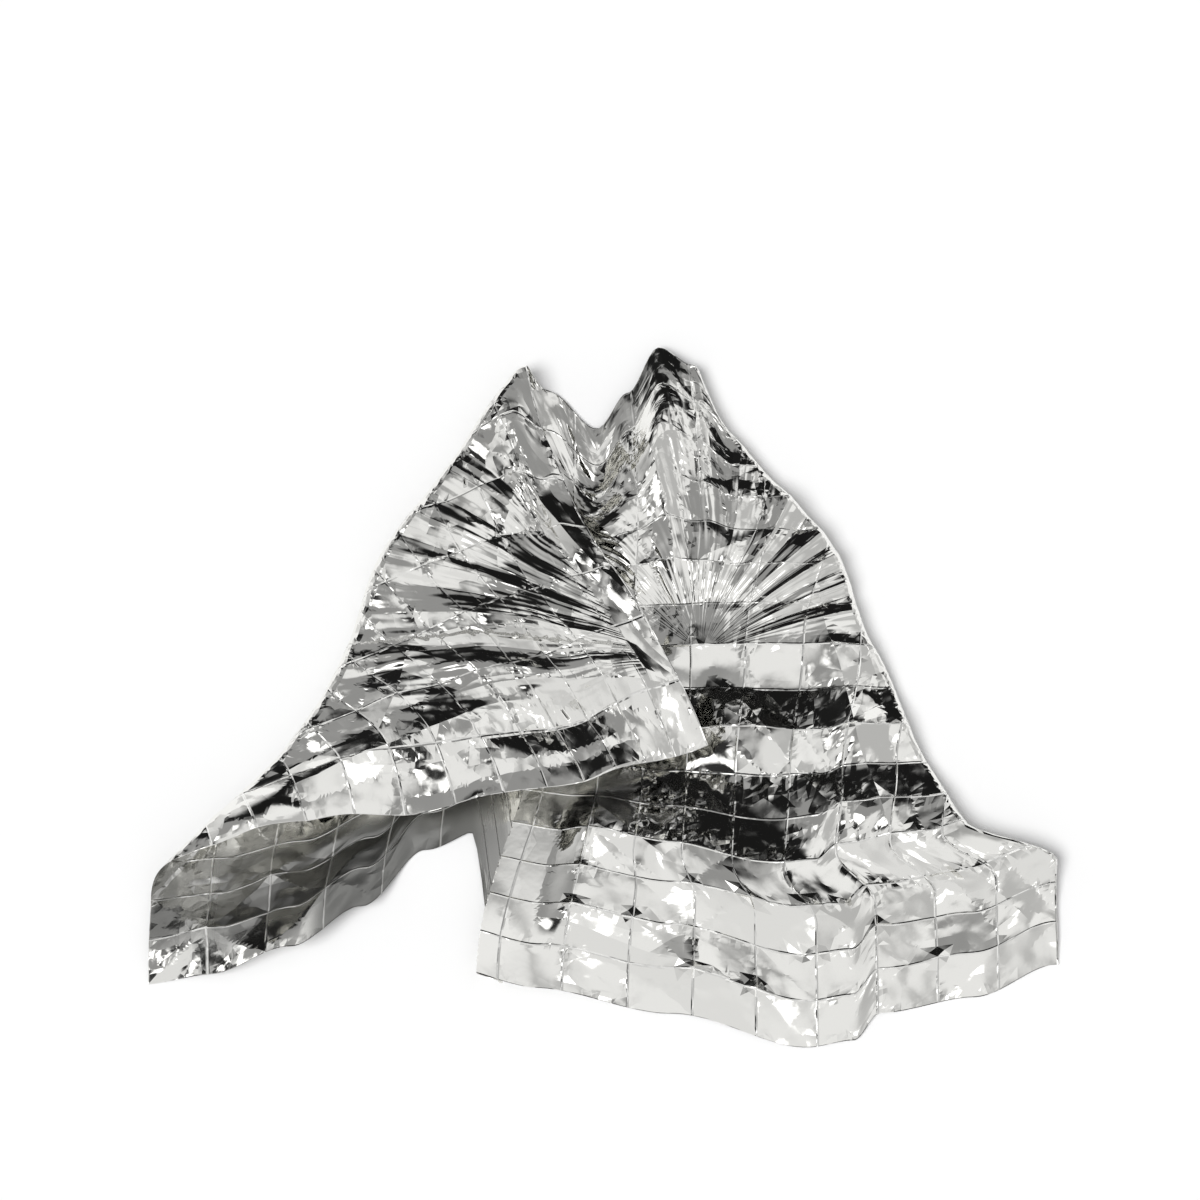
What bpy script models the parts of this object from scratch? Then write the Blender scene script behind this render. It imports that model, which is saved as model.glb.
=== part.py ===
"""Emergency foil blanket, laid out on the floor the way it comes off the shoulders.

One sheet of metallised film, cut 2.1 m by 1.6 m, that was packed by folding it in half four times
each way, into 16 by 16 cells. It lies in three layers that are all one piece of film:
  main   the middle of the sheet, with its packing creases upright
  over   the top left corner, folded across the front, so that its top edge makes the lapel
  under  the top right corner, folded beneath the main layer and flat on the floor
A knife pleat runs up the main layer from the hem, and pleats fan out from the chest on both sides.

The sheet is flat first, with u across it from its middle and v up it from the hem. place() says
where each point of it lies, from whole arrays of u and v. Lengths are in metres, +Z is up.
"""

import math

import bmesh
import bpy
import numpy as np
from mathutils import Vector

# The sheet as it was cut and packed.
SHEET_WIDTH = 2.10
SHEET_HEIGHT = 1.60
CELLS_ACROSS = 16
CELLS_UP = 16
FOIL_THICKNESS = 0.001
HALF_WIDTH = SHEET_WIDTH / 2
CELL_WIDTH = SHEET_WIDTH / CELLS_ACROSS
CELL_HEIGHT = SHEET_HEIGHT / CELLS_UP

# The two diagonal folds, from the top edge to a side edge, and the radius that the film turns round.
OVER_FOLD = {"side": -1, "top_u": -0.12, "side_v": 0.25, "radius": 0.024}
UNDER_FOLD = {"side": 1, "top_u": 0.30, "side_v": 0.30, "radius": 0.019}

# How far past its fold the over layer takes to reach its own place, and how far beyond the under
# layer's edges the main layer takes to come down.
OVER_SETTLES = 0.30
UNDER_REACH = 0.16

# The knife pleat, half a cell deep: its size, the turn inside it, the turn that shows as its edge, and
# the film beside it that is tucked in as well. Higher up the sheet it opens: its layers stand at full
# height down to a share of its depth, and from another share they slope.
PLEAT = {"depth": CELL_WIDTH / 2, "radius": 0.009, "full_to": 0.50, "gone_at": 1.20, "spread": 0.35}
PLEAT_STANDS_TO = 0.40
PLEAT_SLOPES_FROM = 0.33
PLEAT_BAND = math.pi * PLEAT["radius"] / 2
PLEAT_INNER = -2.0 * CELL_WIDTH + PLEAT_BAND
PLEAT_EDGE = -1.5 * CELL_WIDTH + PLEAT_BAND
TUCKED_FROM = -2.5 * CELL_WIDTH

# How much shorter the creases make the sheet as it lies.
DRAWN_IN_ACROSS = 0.97
DRAWN_IN_UP = 0.955

# How far each side of the outline is drawn in, at heights up the sheet.
SIDES = (
    # y, left, right
    (0.00, 0.00, 0.00),
    (0.26, 0.00, 0.00),
    (0.38, 0.01, 0.13),
    (0.60, 0.03, 0.10),
    (0.90, 0.03, 0.03),
    (1.20, -0.03, -0.09),
    (1.45, -0.06, -0.06),
    (1.60, 0.00, 0.00),
)

# How far the top edge is pushed up or down: the scooped neckline and the collar's peak beside it.
TOP = (
    # x, rise
    (-0.30, -0.02),
    (-0.14, 0.02),
    (-0.06, -0.06),
    (0.05, -0.15),
    (0.12, -0.07),
    (0.19, 0.04),
    (0.27, -0.01),
    (0.34, -0.08),
)
TOP_FROM_Y = 0.95

# How far the hem is pushed up, along the left part and the right part, and the over layer with it.
HEM_LEFT = (
    # x, rise
    (-0.95, 0.130),
    (-0.78, 0.150),
    (-0.60, 0.200),
    (-0.44, 0.290),
    (-0.30, 0.420),
    (-0.15, 0.470),
)
HEM_RIGHT = (
    # x, rise
    (-0.24, 0.155),
    (-0.05, 0.120),
    (0.22, 0.070),
    (0.50, 0.000),
    (0.60, 0.014),
    (0.66, 0.072),
    (0.86, 0.105),
    (1.05, 0.175),
)
HEM_FADES_AT = 0.95
OVER_PUSH_FADES = {"from": 0.65, "over": 0.70}
OVER_PUSH = (
    # x, rise
    (-0.95, 0.110),
    (-0.60, 0.080),
    (-0.30, 0.030),
    (0.00, -0.030),
    (0.32, -0.075),
)

# How far the pleat's edge leans from the upright, at the hem and at its top.
LEAN = {"half_width": 0.60, "low": -0.030, "high": 0.070, "high_at": 0.62, "gone_over": 0.50}

# How far each layer lies off the one below it, and the over layer's strips and its wavy lower edge.
MAIN_LIFT = 0.010
OVER_LIFT = {"lapel": 0.074, "middle": 0.064, "lower_edge": 0.088}
LAPEL_WIDTH = 0.16
LAPEL_STRIP = 0.08
LOWER_EDGE_WIDTH = 0.18
LOWER_EDGE_WAVE = {"height": 0.016, "per_metre": 8.0, "start": 1.0}

# The low swells of the film, by layer.
SWELLS = (
    # layer, x, y, half width, half height, rise
    ("main", 0.16, 0.34, 0.34, 0.22, 0.014),
    ("main", 0.42, 1.05, 0.30, 0.34, 0.036),
    ("main", 0.16, 1.40, 0.18, 0.22, 0.030),
    ("main", -0.47, 0.13, 0.42, 0.34, 0.080),
    ("over", -0.04, 0.84, 0.30, 0.20, 0.034),
    ("over", -0.50, 0.62, 0.30, 0.20, 0.026),
    ("over", -0.34, 1.14, 0.24, 0.26, 0.022),
    ("over", -0.86, 0.36, 0.18, 0.16, 0.020),
)

# The main folds: ridges where the height is positive and troughs where it is negative, and the share
# of their length that they rise over at each end.
FOLD_ENDS = 0.25
FOLDS = (
    # layer, from x, from y, to x, to y, half width, height
    ("over", -0.13, 1.34, 0.18, 0.89, 0.040, 0.016),
    ("over", 0.12, 0.84, -0.30, 0.80, 0.055, 0.022),
    ("over", -0.02, 0.78, -0.42, 0.62, 0.050, -0.018),
    ("over", -0.06, 0.88, -0.50, 0.86, 0.045, -0.014),
    ("over", -0.36, 0.72, -0.80, 0.44, 0.060, 0.020),
    ("over", -0.44, 0.92, -0.62, 0.58, 0.055, 0.016),
    ("over", 0.10, 0.70, -0.62, 0.40, 0.045, 0.016),
    ("main", 0.02, 1.34, 0.16, 1.00, 0.040, 0.014),
    ("main", 0.14, 1.48, 0.22, 1.04, 0.036, 0.015),
    ("main", 0.25, 1.52, 0.29, 1.06, 0.036, 0.014),
    ("main", 0.26, 0.80, 0.52, 0.64, 0.060, 0.020),
    ("main", 0.30, 0.86, 0.74, 0.40, 0.060, 0.016),
    ("main", 0.54, 1.02, 0.86, 0.22, 0.075, 0.026),
    ("main", -0.10, 0.52, 0.26, 0.34, 0.060, 0.020),
    ("main", -0.16, 0.18, 0.36, 0.10, 0.055, 0.008),
    ("main", 0.84, 0.36, 1.00, 0.10, 0.050, 0.016),
)

# The pleats that fan out from the chest: where they start and end, and the lines they fold on.
FAN_AT = {"main": (0.29, 0.88), "over": (0.20, 0.90)}
FAN = {"near": 0.08, "full": 0.22, "fades": 0.50, "far": 0.80, "steepness": 0.021}
FAN_FOLDS = (
    # layer, degrees, height
    ("main", 8.0, 0.0),
    ("main", 17.0, 0.9),
    ("main", 24.0, -0.8),
    ("main", 30.0, 0.7),
    ("main", 37.0, -0.9),
    ("main", 44.0, 1.0),
    ("main", 49.0, -0.7),
    ("main", 55.0, 0.8),
    ("main", 62.0, -1.0),
    ("main", 69.0, 0.9),
    ("main", 75.0, -0.6),
    ("main", 83.0, 0.8),
    ("main", 92.0, -0.5),
    ("main", 100.0, 0.0),
    ("over", 120.0, 0.0),
    ("over", 127.0, 0.8),
    ("over", 133.0, -0.7),
    ("over", 138.0, 0.4),
    ("over", 144.0, -0.7),
    ("over", 150.0, 0.7),
    ("over", 156.0, -0.5),
    ("over", 161.0, 0.4),
    ("over", 167.0, -0.6),
    ("over", 174.0, 0.5),
    ("over", 181.0, -0.4),
    ("over", 190.0, 0.3),
    ("over", 200.0, 0.0),
)

# The packing creases: rows fold to and fro, crossings are uneven, and each cell has a dent or a bump.
ROW_ZIGZAG = {"height": 0.006, "high_up": 0.0025, "from_row": 9.0, "to_row": 11.0}
CROSSING_UNEVEN = 0.005
CREASE_UNEVEN = 0.003
CELL_DENT = 0.007
OVER_SHARE = 0.9

# Low on the right the rows rise slowly from the hem and fall steeply behind, in these columns. The
# film is less uneven there.
LOW_ROWS = (
    # row, rise
    (0, 0.000),
    (1, 0.011),
    (2, 0.024),
    (3, 0.039),
    (4, 0.057),
    (5, 0.028),
    (6, -0.001),
    (7, 0.022),
    (8, -0.004),
    (9, 0.010),
    (10, 0.000),
)
LOW_COLUMNS = (
    # column, share
    (4, 0.0),
    (6, 0.5),
    (7, 0.9),
    (12, 1.0),
    (13, 0.5),
    (14, 0.3),
    (15, 0.5),
    (16, 0.4),
)
LOW_CALM = 0.7

# Beneath the over layer and in the knife pleat the film is pressed flatter: how much of its creases is
# left there, and where that starts.
HIDDEN_SHARE = 0.2
HIDDEN_FROM = {"inside": -0.06, "over": 0.08}
IN_PLEAT_SHARE = 0.05
IN_PLEAT = {"half_width": 0.26, "firmness": 2.2, "full_at": 0.25}

# A cut runs through a corner of the mesh that lies this near to it.
CUT_SNAPS = 0.002

# Crossings that stand up as small tents, and the crumpled places: the corner at the hem, the collar, and
# the crease beside the over layer's lower edge.
TENTS = (
    # column, row, rise
    (9, 2, 0.016),
    (10, 1, 0.015),
    (11, 3, 0.024),
    (12, 3, 0.018),
    (11, 1, 0.016),
    (8, 2, 0.018),
    (8, 4, 0.014),
    (13, 2, 0.012),
    (11, 6, 0.010),
    (0, 2, 0.030),
    (1, 1, 0.044),
    (2, 0, 0.020),
    (2, 2, 0.026),
    (3, 1, 0.016),
    (3, 8, 0.012),
    (4, 9, -0.008),
)
CRUMPLED = (
    # u, v, half width, uneven
    (-0.98, 0.14, 0.36, 0.014),
    (0.20, 1.44, 0.28, 0.008),
    (-0.92, 0.82, 0.10, 0.003),
    (-0.92, 0.98, 0.11, 0.003),
    (-0.92, 1.15, 0.11, 0.003),
    (-0.92, 1.32, 0.10, 0.003),
)

SILVER = (0.78, 0.78, 0.77, 1.0)


def ease(t):
    """0 to 1 with soft ends, as t goes from 0 to 1."""
    t = np.clip(t, 0.0, 1.0)
    return t * t * (3 - 2 * t)


def bell(t):
    """1 at t 0, and 0 with soft ends past t -1 and 1."""
    return 1 - ease(np.abs(t))


def chance(column, row, kind):
    """An uneven number from -1 to 1 that is always the same at the same crossing."""
    spread = np.sin(column * 12.9898 + row * 78.233 + kind * 37.719) * 437.585
    return 2 * (spread - np.floor(spread)) - 1


def along(rows, at, column):
    """A table's column at places between its rows, on a soft line."""
    value = np.full_like(at, rows[0][column])
    for low, high in zip(rows, rows[1:]):
        value += (high[column] - low[column]) * ease((at - low[0]) / (high[0] - low[0]))
    return value


def fold_line(fold):
    """A diagonal fold's top point and the unit normal that points into the corner it folds."""
    top = np.array((fold["top_u"], SHEET_HEIGHT))
    end = np.array((fold["side"] * HALF_WIDTH, fold["side_v"]))
    run = (end - top) / np.linalg.norm(end - top)
    return top, np.array((run[1], -run[0])) * -fold["side"]


OVER_TOP, OVER_NORMAL = fold_line(OVER_FOLD)
UNDER_TOP, UNDER_NORMAL = fold_line(UNDER_FOLD)


def past_fold(x, y, top, normal):
    """How far points lie past a diagonal fold."""
    return (x - top[0]) * normal[0] + (y - top[1]) * normal[1]


def mirrored(x, y, top, normal):
    """The image of points on the other side of a diagonal fold."""
    past = past_fold(x, y, top, normal)
    return x - 2 * past * normal[0], y - 2 * past * normal[1]


def band_of(radius):
    """Half the film's length round a fold."""
    return math.pi * radius / 2


def roll(past, radius):
    """Where the film lies after a fold, for points that far past it, and its share of the turn."""
    band = band_of(radius)
    angle = np.clip((past + band) / radius, 0.0, math.pi)
    back = -band + radius * np.sin(angle) + np.minimum(past + band, 0.0) - np.maximum(past - band, 0.0)
    return back, (1 - np.cos(angle)) / 2


def pleat_share(y):
    """How much of the knife pleat there is at heights up the sheet."""
    return 1 - ease((y - PLEAT["full_to"]) / (PLEAT["gone_at"] - PLEAT["full_to"]))


def pleat_stack(y):
    """The height of the pleat's turned layers at heights up the sheet."""
    return 4 * PLEAT["radius"] * ease(pleat_share(y) / PLEAT_STANDS_TO)


def pleated(u, y):
    """Where the knife pleat puts points across the sheet, and how high it lifts them."""
    left_back, left_turned = roll(u - PLEAT_INNER, PLEAT["radius"])
    right_back, right_turned = roll(u - PLEAT_EDGE, PLEAT["radius"])
    left = u < (PLEAT_INNER + PLEAT_EDGE) / 2
    folded = np.where(left, PLEAT_INNER + 2 * PLEAT["depth"] + left_back, PLEAT_EDGE - right_back)
    rise = np.where(left, left_turned / 2, 0.5 + right_turned / 2)
    slope = np.clip((u - PLEAT_INNER + PLEAT_BAND) / (PLEAT["depth"] + 2 * PLEAT_BAND), 0.0, 1.0)
    share = pleat_share(y)
    rise += (slope - rise) * ease((1 - share) / PLEAT_SLOPES_FROM)
    return u + (folded - u) * share, rise * pleat_stack(y)


def covered(x, y, right_share):
    """How far inside the over layer's edges points lie; negative where they are uncovered."""
    pure_x = x - 2 * PLEAT["depth"] * pleat_share(y)
    inside = -past_fold(pure_x, y, OVER_TOP, OVER_NORMAL) - band_of(OVER_FOLD["radius"])
    slip = over_slip(x, y, right_share, ease(inside / OVER_SETTLES)) / DRAWN_IN_UP
    image_x, image_y = mirrored(pure_x, y - slip, OVER_TOP, OVER_NORMAL)
    return np.minimum(image_x + HALF_WIDTH, SHEET_HEIGHT - image_y)


def carried(x, y):
    """How much of the under layer's height the main layer is lifted by, 0 to 1."""
    image_x, image_y = mirrored(x, y, UNDER_TOP, UNDER_NORMAL)
    outside = np.maximum(np.maximum(image_x - HALF_WIDTH, image_y - SHEET_HEIGHT), 0.0)
    return 1 - ease(outside / UNDER_REACH)


def low_share(column, row):
    """How much of the low right's own rows there is at crossings, 0 to 1."""
    columns, shares = zip(*LOW_COLUMNS)
    return np.interp(column, columns, shares) * (row < LOW_ROWS[-1][0])


def crossing_height(column, row):
    """The height of the film where packing creases cross."""
    uneven = CROSSING_UNEVEN
    for at_u, at_v, half_width, more in CRUMPLED:
        away = np.hypot(column * CELL_WIDTH - HALF_WIDTH - at_u, row * CELL_HEIGHT - at_v)
        uneven = uneven + more * bell(away / half_width)
    high_up = ease((row - ROW_ZIGZAG["from_row"]) / (ROW_ZIGZAG["to_row"] - ROW_ZIGZAG["from_row"]))
    zigzag = ROW_ZIGZAG["height"] + (ROW_ZIGZAG["high_up"] - ROW_ZIGZAG["height"]) * high_up
    height = zigzag * np.where(row % 2 == 1, 1, -1) + uneven * chance(column, row, 1)
    low = low_share(column, row)
    rows, rises = zip(*LOW_ROWS)
    height = height * (1 - LOW_CALM * low) + np.interp(row, rows, rises) * low
    for at_column, at_row, rise in TENTS:
        height += np.where((column == at_column) & (row == at_row), rise, 0.0)
    return height


def facet_height(u, v):
    """The height of the film's facets: each cell is eight triangles round a dent or a bump."""
    across = (u + HALF_WIDTH) / CELL_WIDTH
    up = v / CELL_HEIGHT
    column = np.clip(np.floor(across), 0, CELLS_ACROSS - 1)
    row = np.clip(np.floor(up), 0, CELLS_UP - 1)
    right = column + (across - column > 0.5)
    upper = row + (up - row > 0.5)
    off_x = np.abs(across - column - 0.5) * 2
    off_y = np.abs(up - row - 0.5) * 2

    corner = crossing_height(right, upper)
    beside = crossing_height(2 * column + 1 - right, upper)
    above = crossing_height(right, 2 * row + 1 - upper)
    across_from = crossing_height(2 * column + 1 - right, 2 * row + 1 - upper)
    upright_crease = (corner + above) / 2 + CREASE_UNEVEN * chance(right, row, 2)
    level_crease = (corner + beside) / 2 + CREASE_UNEVEN * chance(column, upper, 3)
    crease = np.where(off_x > off_y, upright_crease, level_crease)
    dent = CELL_DENT * (1 - LOW_CALM * low_share(column + 0.5, row + 0.5)) * chance(column, row, 4)
    middle = (corner + beside + above + across_from) / 4 + dent
    near = np.maximum(off_x, off_y)
    far = np.minimum(off_x, off_y)
    return middle * (1 - near) + crease * (near - far) + corner * far


def swell(layer, x, y):
    """The height of a layer's swells."""
    height = np.zeros_like(x)
    for name, at_x, at_y, half_width, half_height, rise in SWELLS:
        if name == layer:
            height += rise * bell(np.hypot((x - at_x) / half_width, (y - at_y) / half_height))
    return height


def fold_height(layer, x, y):
    """The height of a layer's main folds: straight ridges and troughs that fade at their ends."""
    height = np.zeros_like(x)
    for name, x0, y0, x1, y1, half_width, rise in FOLDS:
        if name == layer:
            run_x, run_y = x1 - x0, y1 - y0
            length = math.hypot(run_x, run_y)
            share = ((x - x0) * run_x + (y - y0) * run_y) / length**2
            off = np.abs((x - x0) * run_y - (y - y0) * run_x) / length
            ends = ease(share / FOLD_ENDS) * ease((1 - share) / FOLD_ENDS)
            height += rise * ends * np.maximum(0.0, 1 - off / half_width)
    return height


def fan_height(layer, x, y):
    """The height of the pleats that fan out from the chest."""
    reach_x, reach_y = x - FAN_AT[layer][0], y - FAN_AT[layer][1]
    reach = np.hypot(reach_x, reach_y)
    degrees = np.degrees(np.arctan2(reach_y, reach_x)) % 360
    rows = [row for row in FAN_FOLDS if row[0] == layer]
    share = np.interp(degrees, [row[1] for row in rows], [row[2] for row in rows])
    start = ease((reach - FAN["near"]) / (FAN["full"] - FAN["near"]))
    end = 1 - ease((reach - FAN["fades"]) / (FAN["far"] - FAN["fades"]))
    return FAN["steepness"] * np.minimum(reach, FAN["fades"]) * share * start * end


def over_slip(x, y, right_share, over_share):
    """How much further up than the main layer the over layer is pushed."""
    hem = along(HEM_LEFT, x, 1) + (along(HEM_RIGHT, x, 1) - along(HEM_LEFT, x, 1)) * right_share
    push = along(OVER_PUSH, x, 1) * (1 - ease((y - OVER_PUSH_FADES["from"]) / OVER_PUSH_FADES["over"]))
    return (push - hem * (1 - ease(y / HEM_FADES_AT))) * over_share


def plan(x, y, right_share, over_share):
    """Where points of the folded sheet lie on the floor: drawn in, with its uneven outline."""
    hem = along(HEM_LEFT, x, 1) + (along(HEM_RIGHT, x, 1) - along(HEM_LEFT, x, 1)) * right_share
    hem *= 1 - ease(y / HEM_FADES_AT)
    lean = LEAN["low"] + (LEAN["high"] - LEAN["low"]) * ease(y / LEAN["high_at"])
    lean *= bell((x - PLEAT_EDGE) / LEAN["half_width"])
    lean *= 1 - ease((y - LEAN["high_at"]) / LEAN["gone_over"])
    side = np.where(x > 0, along(SIDES, y, 2), along(SIDES, y, 1))
    out_x = x * DRAWN_IN_ACROSS - side * x / HALF_WIDTH + lean
    out_y = y * DRAWN_IN_UP + hem + over_slip(x, y, right_share, over_share)
    out_y += along(TOP, x, 1) * ease((y - TOP_FROM_Y) / (SHEET_HEIGHT - TOP_FROM_Y))
    return out_x, out_y


def main_height(x, y, facets, rise, right_part, flatter, hidden):
    """The height of the main layer."""
    height = facets * flatter * (1 - (1 - HIDDEN_SHARE) * hidden)
    height += (fold_height("main", x, y) + fan_height("main", x, y)) * (1 - hidden) * flatter
    beside = pleat_stack(y) * (1 - ease((x - PLEAT_EDGE) / PLEAT["spread"]))
    return height + np.where(right_part, beside, rise)


def over_height(u, v, x, main_y, pure_x, y, facets):
    """The height of the over layer above the main one."""
    lapel = 1 - ease((SHEET_HEIGHT - v) / LAPEL_WIDTH)
    lower_edge = 1 - ease((u + HALF_WIDTH) / LOWER_EDGE_WIDTH)
    wave = np.sin(LOWER_EDGE_WAVE["per_metre"] * x + LOWER_EDGE_WAVE["start"])
    lift = OVER_LIFT["middle"] + (OVER_LIFT["lower_edge"] - OVER_LIFT["middle"]) * lower_edge
    lift += LOWER_EDGE_WAVE["height"] * lower_edge * wave
    lift += (OVER_LIFT["lapel"] - lift) * lapel * (1 - lower_edge)
    lift += pleat_stack(main_y) * bell((x - PLEAT_EDGE) / PLEAT["spread"])
    height = lift + facets * OVER_SHARE + swell("over", pure_x, y) + fold_height("over", pure_x, y)
    return height + fan_height("over", pure_x, y) * ease((SHEET_HEIGHT - v) / LAPEL_STRIP - 1)


def place(u, v):
    """Where the middle of the film lies, for points (u, v) of the flat sheet: x, y and z."""
    over_past = past_fold(u, v, OVER_TOP, OVER_NORMAL)
    under_past = past_fold(u, v, UNDER_TOP, UNDER_NORMAL)
    over_back, over_turned = roll(over_past, OVER_FOLD["radius"])
    under_back, under_turned = roll(under_past, UNDER_FOLD["radius"])
    pure_x = u + (over_back - over_past) * OVER_NORMAL[0] + (under_back - under_past) * UNDER_NORMAL[0]
    y = v + (over_back - over_past) * OVER_NORMAL[1] + (under_back - under_past) * UNDER_NORMAL[1]
    pleated_u, rise = pleated(u, y)
    x = pleated_u + pure_x - u
    right_part = u >= PLEAT_EDGE
    right_share = ease((u - TUCKED_FROM) / (PLEAT_INNER - PLEAT_BAND - TUCKED_FROM))
    over_share = ease((over_past - band_of(OVER_FOLD["radius"])) / OVER_SETTLES)
    out_x, out_y = plan(x, y, right_share, over_share)
    main_y = y + over_slip(x, y, right_share, over_share) / DRAWN_IN_UP

    facets = facet_height(u, v)
    beside_pleat = bell((u - (PLEAT_INNER + PLEAT_EDGE) / 2) / IN_PLEAT["half_width"])
    in_pleat = ease(pleat_share(y) / IN_PLEAT["full_at"]) * ease(IN_PLEAT["firmness"] * beside_pleat)
    flatter = 1 - (1 - IN_PLEAT_SHARE) * in_pleat
    hidden = ease((covered(x, y, right_share) - HIDDEN_FROM["inside"]) / HIDDEN_FROM["over"])
    below = MAIN_LIFT + carried(x, main_y) * 2 * UNDER_FOLD["radius"] + swell("main", out_x, out_y)
    main = np.maximum(below + main_height(x, y, facets, rise, right_part, flatter, hidden), 0.0)
    over = below + over_height(u, v, x, main_y, pure_x, y, facets)
    height = (main + (over - main) * over_turned) * (1 - under_turned)
    return out_x, out_y, FOIL_THICKNESS / 2 + height


def layer_at(u, v):
    """The layer that a point of the flat sheet is in."""
    if past_fold(u, v, OVER_TOP, OVER_NORMAL) > 0:
        return "over"
    if past_fold(u, v, UNDER_TOP, UNDER_NORMAL) > 0:
        return "under"
    return "main"


def score(mesh, start, end, layer=None):
    """Cuts the flat sheet along a line, or one layer of it from start to end, to let it bend there."""
    run = end - start
    faces = []
    for face in mesh.faces:
        middle = face.calc_center_median().xy
        share = (middle - start).dot(run) / run.length_squared
        if layer is None or (0.0 <= share <= 1.0 and layer_at(*middle) == layer):
            faces.append(face)
    edges = {edge for face in faces for edge in face.edges}
    vertices = {vertex for face in faces for vertex in face.verts}
    edges = sorted(edges, key=lambda edge: edge.index)
    vertices = sorted(vertices, key=lambda vertex: vertex.index)
    bmesh.ops.bisect_plane(
        mesh,
        geom=faces + edges + vertices,
        dist=CUT_SNAPS,
        plane_co=(start.x, start.y, 0.0),
        plane_no=(run.y, -run.x, 0.0),
    )
    for sequence in (mesh.verts, mesh.edges, mesh.faces):
        sequence.index_update()


def on_sheet(layer, x, y):
    """The flat sheet's point that lies at (x, y) in a layer, before the outline is drawn in."""
    if layer == "over":
        x, y = mirrored(x, y, OVER_TOP, OVER_NORMAL)
    return Vector((x, y))


def flat_sheet():
    """The sheet as packed: a grid of cells in eight triangles each, scored where it is folded."""
    mesh = bmesh.new()
    bmesh.ops.create_grid(mesh, x_segments=CELLS_ACROSS, y_segments=CELLS_UP, size=0.5)
    bmesh.ops.scale(mesh, vec=(SHEET_WIDTH, SHEET_HEIGHT, 1.0), verts=mesh.verts)
    bmesh.ops.translate(mesh, vec=(0.0, SHEET_HEIGHT / 2, 0.0), verts=mesh.verts)
    bmesh.ops.poke(mesh, faces=mesh.faces)
    for column in range(CELLS_ACROSS):
        start = Vector(((column + 0.5) * CELL_WIDTH - HALF_WIDTH, 0.0))
        score(mesh, start, start + Vector((0.0, SHEET_HEIGHT)))
    for row in range(CELLS_UP):
        start = Vector((-HALF_WIDTH, (row + 0.5) * CELL_HEIGHT))
        score(mesh, start, start + Vector((SHEET_WIDTH, 0.0)))

    for fold, steps in ((OVER_FOLD, (-1.0, -0.5, 0.0, 0.5, 1.0)), (UNDER_FOLD, (-1.0, 0.0, 1.0))):
        top, normal = fold_line(fold)
        for step in steps:
            start = Vector(top + normal * (band_of(fold["radius"]) * step))
            score(mesh, start, start + Vector((normal[1], -normal[0])))
    for at_u in (PLEAT_INNER + PLEAT_BAND, PLEAT_EDGE + PLEAT_BAND):
        score(mesh, Vector((at_u, -CELL_HEIGHT)), Vector((at_u, PLEAT["gone_at"])), "main")
    for layer, degrees, share in FAN_FOLDS:
        if share:
            x, y = FAN_AT[layer]
            run_x, run_y = math.cos(math.radians(degrees)), math.sin(math.radians(degrees))
            start = on_sheet(layer, x + run_x * FAN["near"], y + run_y * FAN["near"])
            end = on_sheet(layer, x + run_x * FAN["far"], y + run_y * FAN["far"])
            score(mesh, start, end, layer)
    for layer, x0, y0, x1, y1, *_ in FOLDS:
        score(mesh, on_sheet(layer, x0, y0), on_sheet(layer, x1, y1), layer)
    bmesh.ops.triangulate(mesh, faces=mesh.faces)
    return mesh


def foil_material():
    """Bright silver film."""
    material = bpy.data.materials.new("silver_foil")
    material.use_nodes = True
    shader = material.node_tree.nodes["Principled BSDF"]
    shader.inputs["Base Color"].default_value = SILVER
    shader.inputs["Metallic"].default_value = 1.0
    shader.inputs["Roughness"].default_value = 0.12
    return material


def foil_sheet(collection):
    """The whole blanket: the sheet laid out, set in the middle of its floor space, and thickened."""
    mesh = flat_sheet()
    flat = np.array([vertex.co.xy for vertex in mesh.verts])
    x, y, z = place(flat[:, 0], flat[:, 1])
    x -= (x.min() + x.max()) / 2
    y -= (y.min() + y.max()) / 2
    for vertex, point in zip(mesh.verts, np.stack((x, y, z), axis=1)):
        vertex.co = Vector(point)
    bmesh.ops.recalc_face_normals(mesh, faces=mesh.faces)
    data = bpy.data.meshes.new("foil_sheet")
    mesh.to_mesh(data)
    mesh.free()
    sheet = bpy.data.objects.new("foil_sheet", data)
    sheet.data.materials.append(foil_material())
    collection.objects.link(sheet)
    film = sheet.modifiers.new("film", "SOLIDIFY")
    film.thickness = FOIL_THICKNESS
    film.offset = 0.0
    return sheet


def build():
    """Clears the scene and makes the blanket."""
    for thing in list(bpy.data.objects):
        bpy.data.objects.remove(thing)
    collection = bpy.data.collections.new("emergency_foil_blanket")
    bpy.context.scene.collection.children.link(collection)
    foil_sheet(collection)


build()
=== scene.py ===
"""Emergency foil blanket: the finished film, and the floor, light and camera that show it.

The file is laid out as a Blender add-on and is run as a script. The sheet of film is modelled flat, cut
along its folds, crumpled, and then laid out in its folds. u runs across the flat sheet from its middle
and v runs up it from the hem. Lengths are in metres, +Z is up, and +Y runs from the hem to the neckline.
"""

import math

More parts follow.
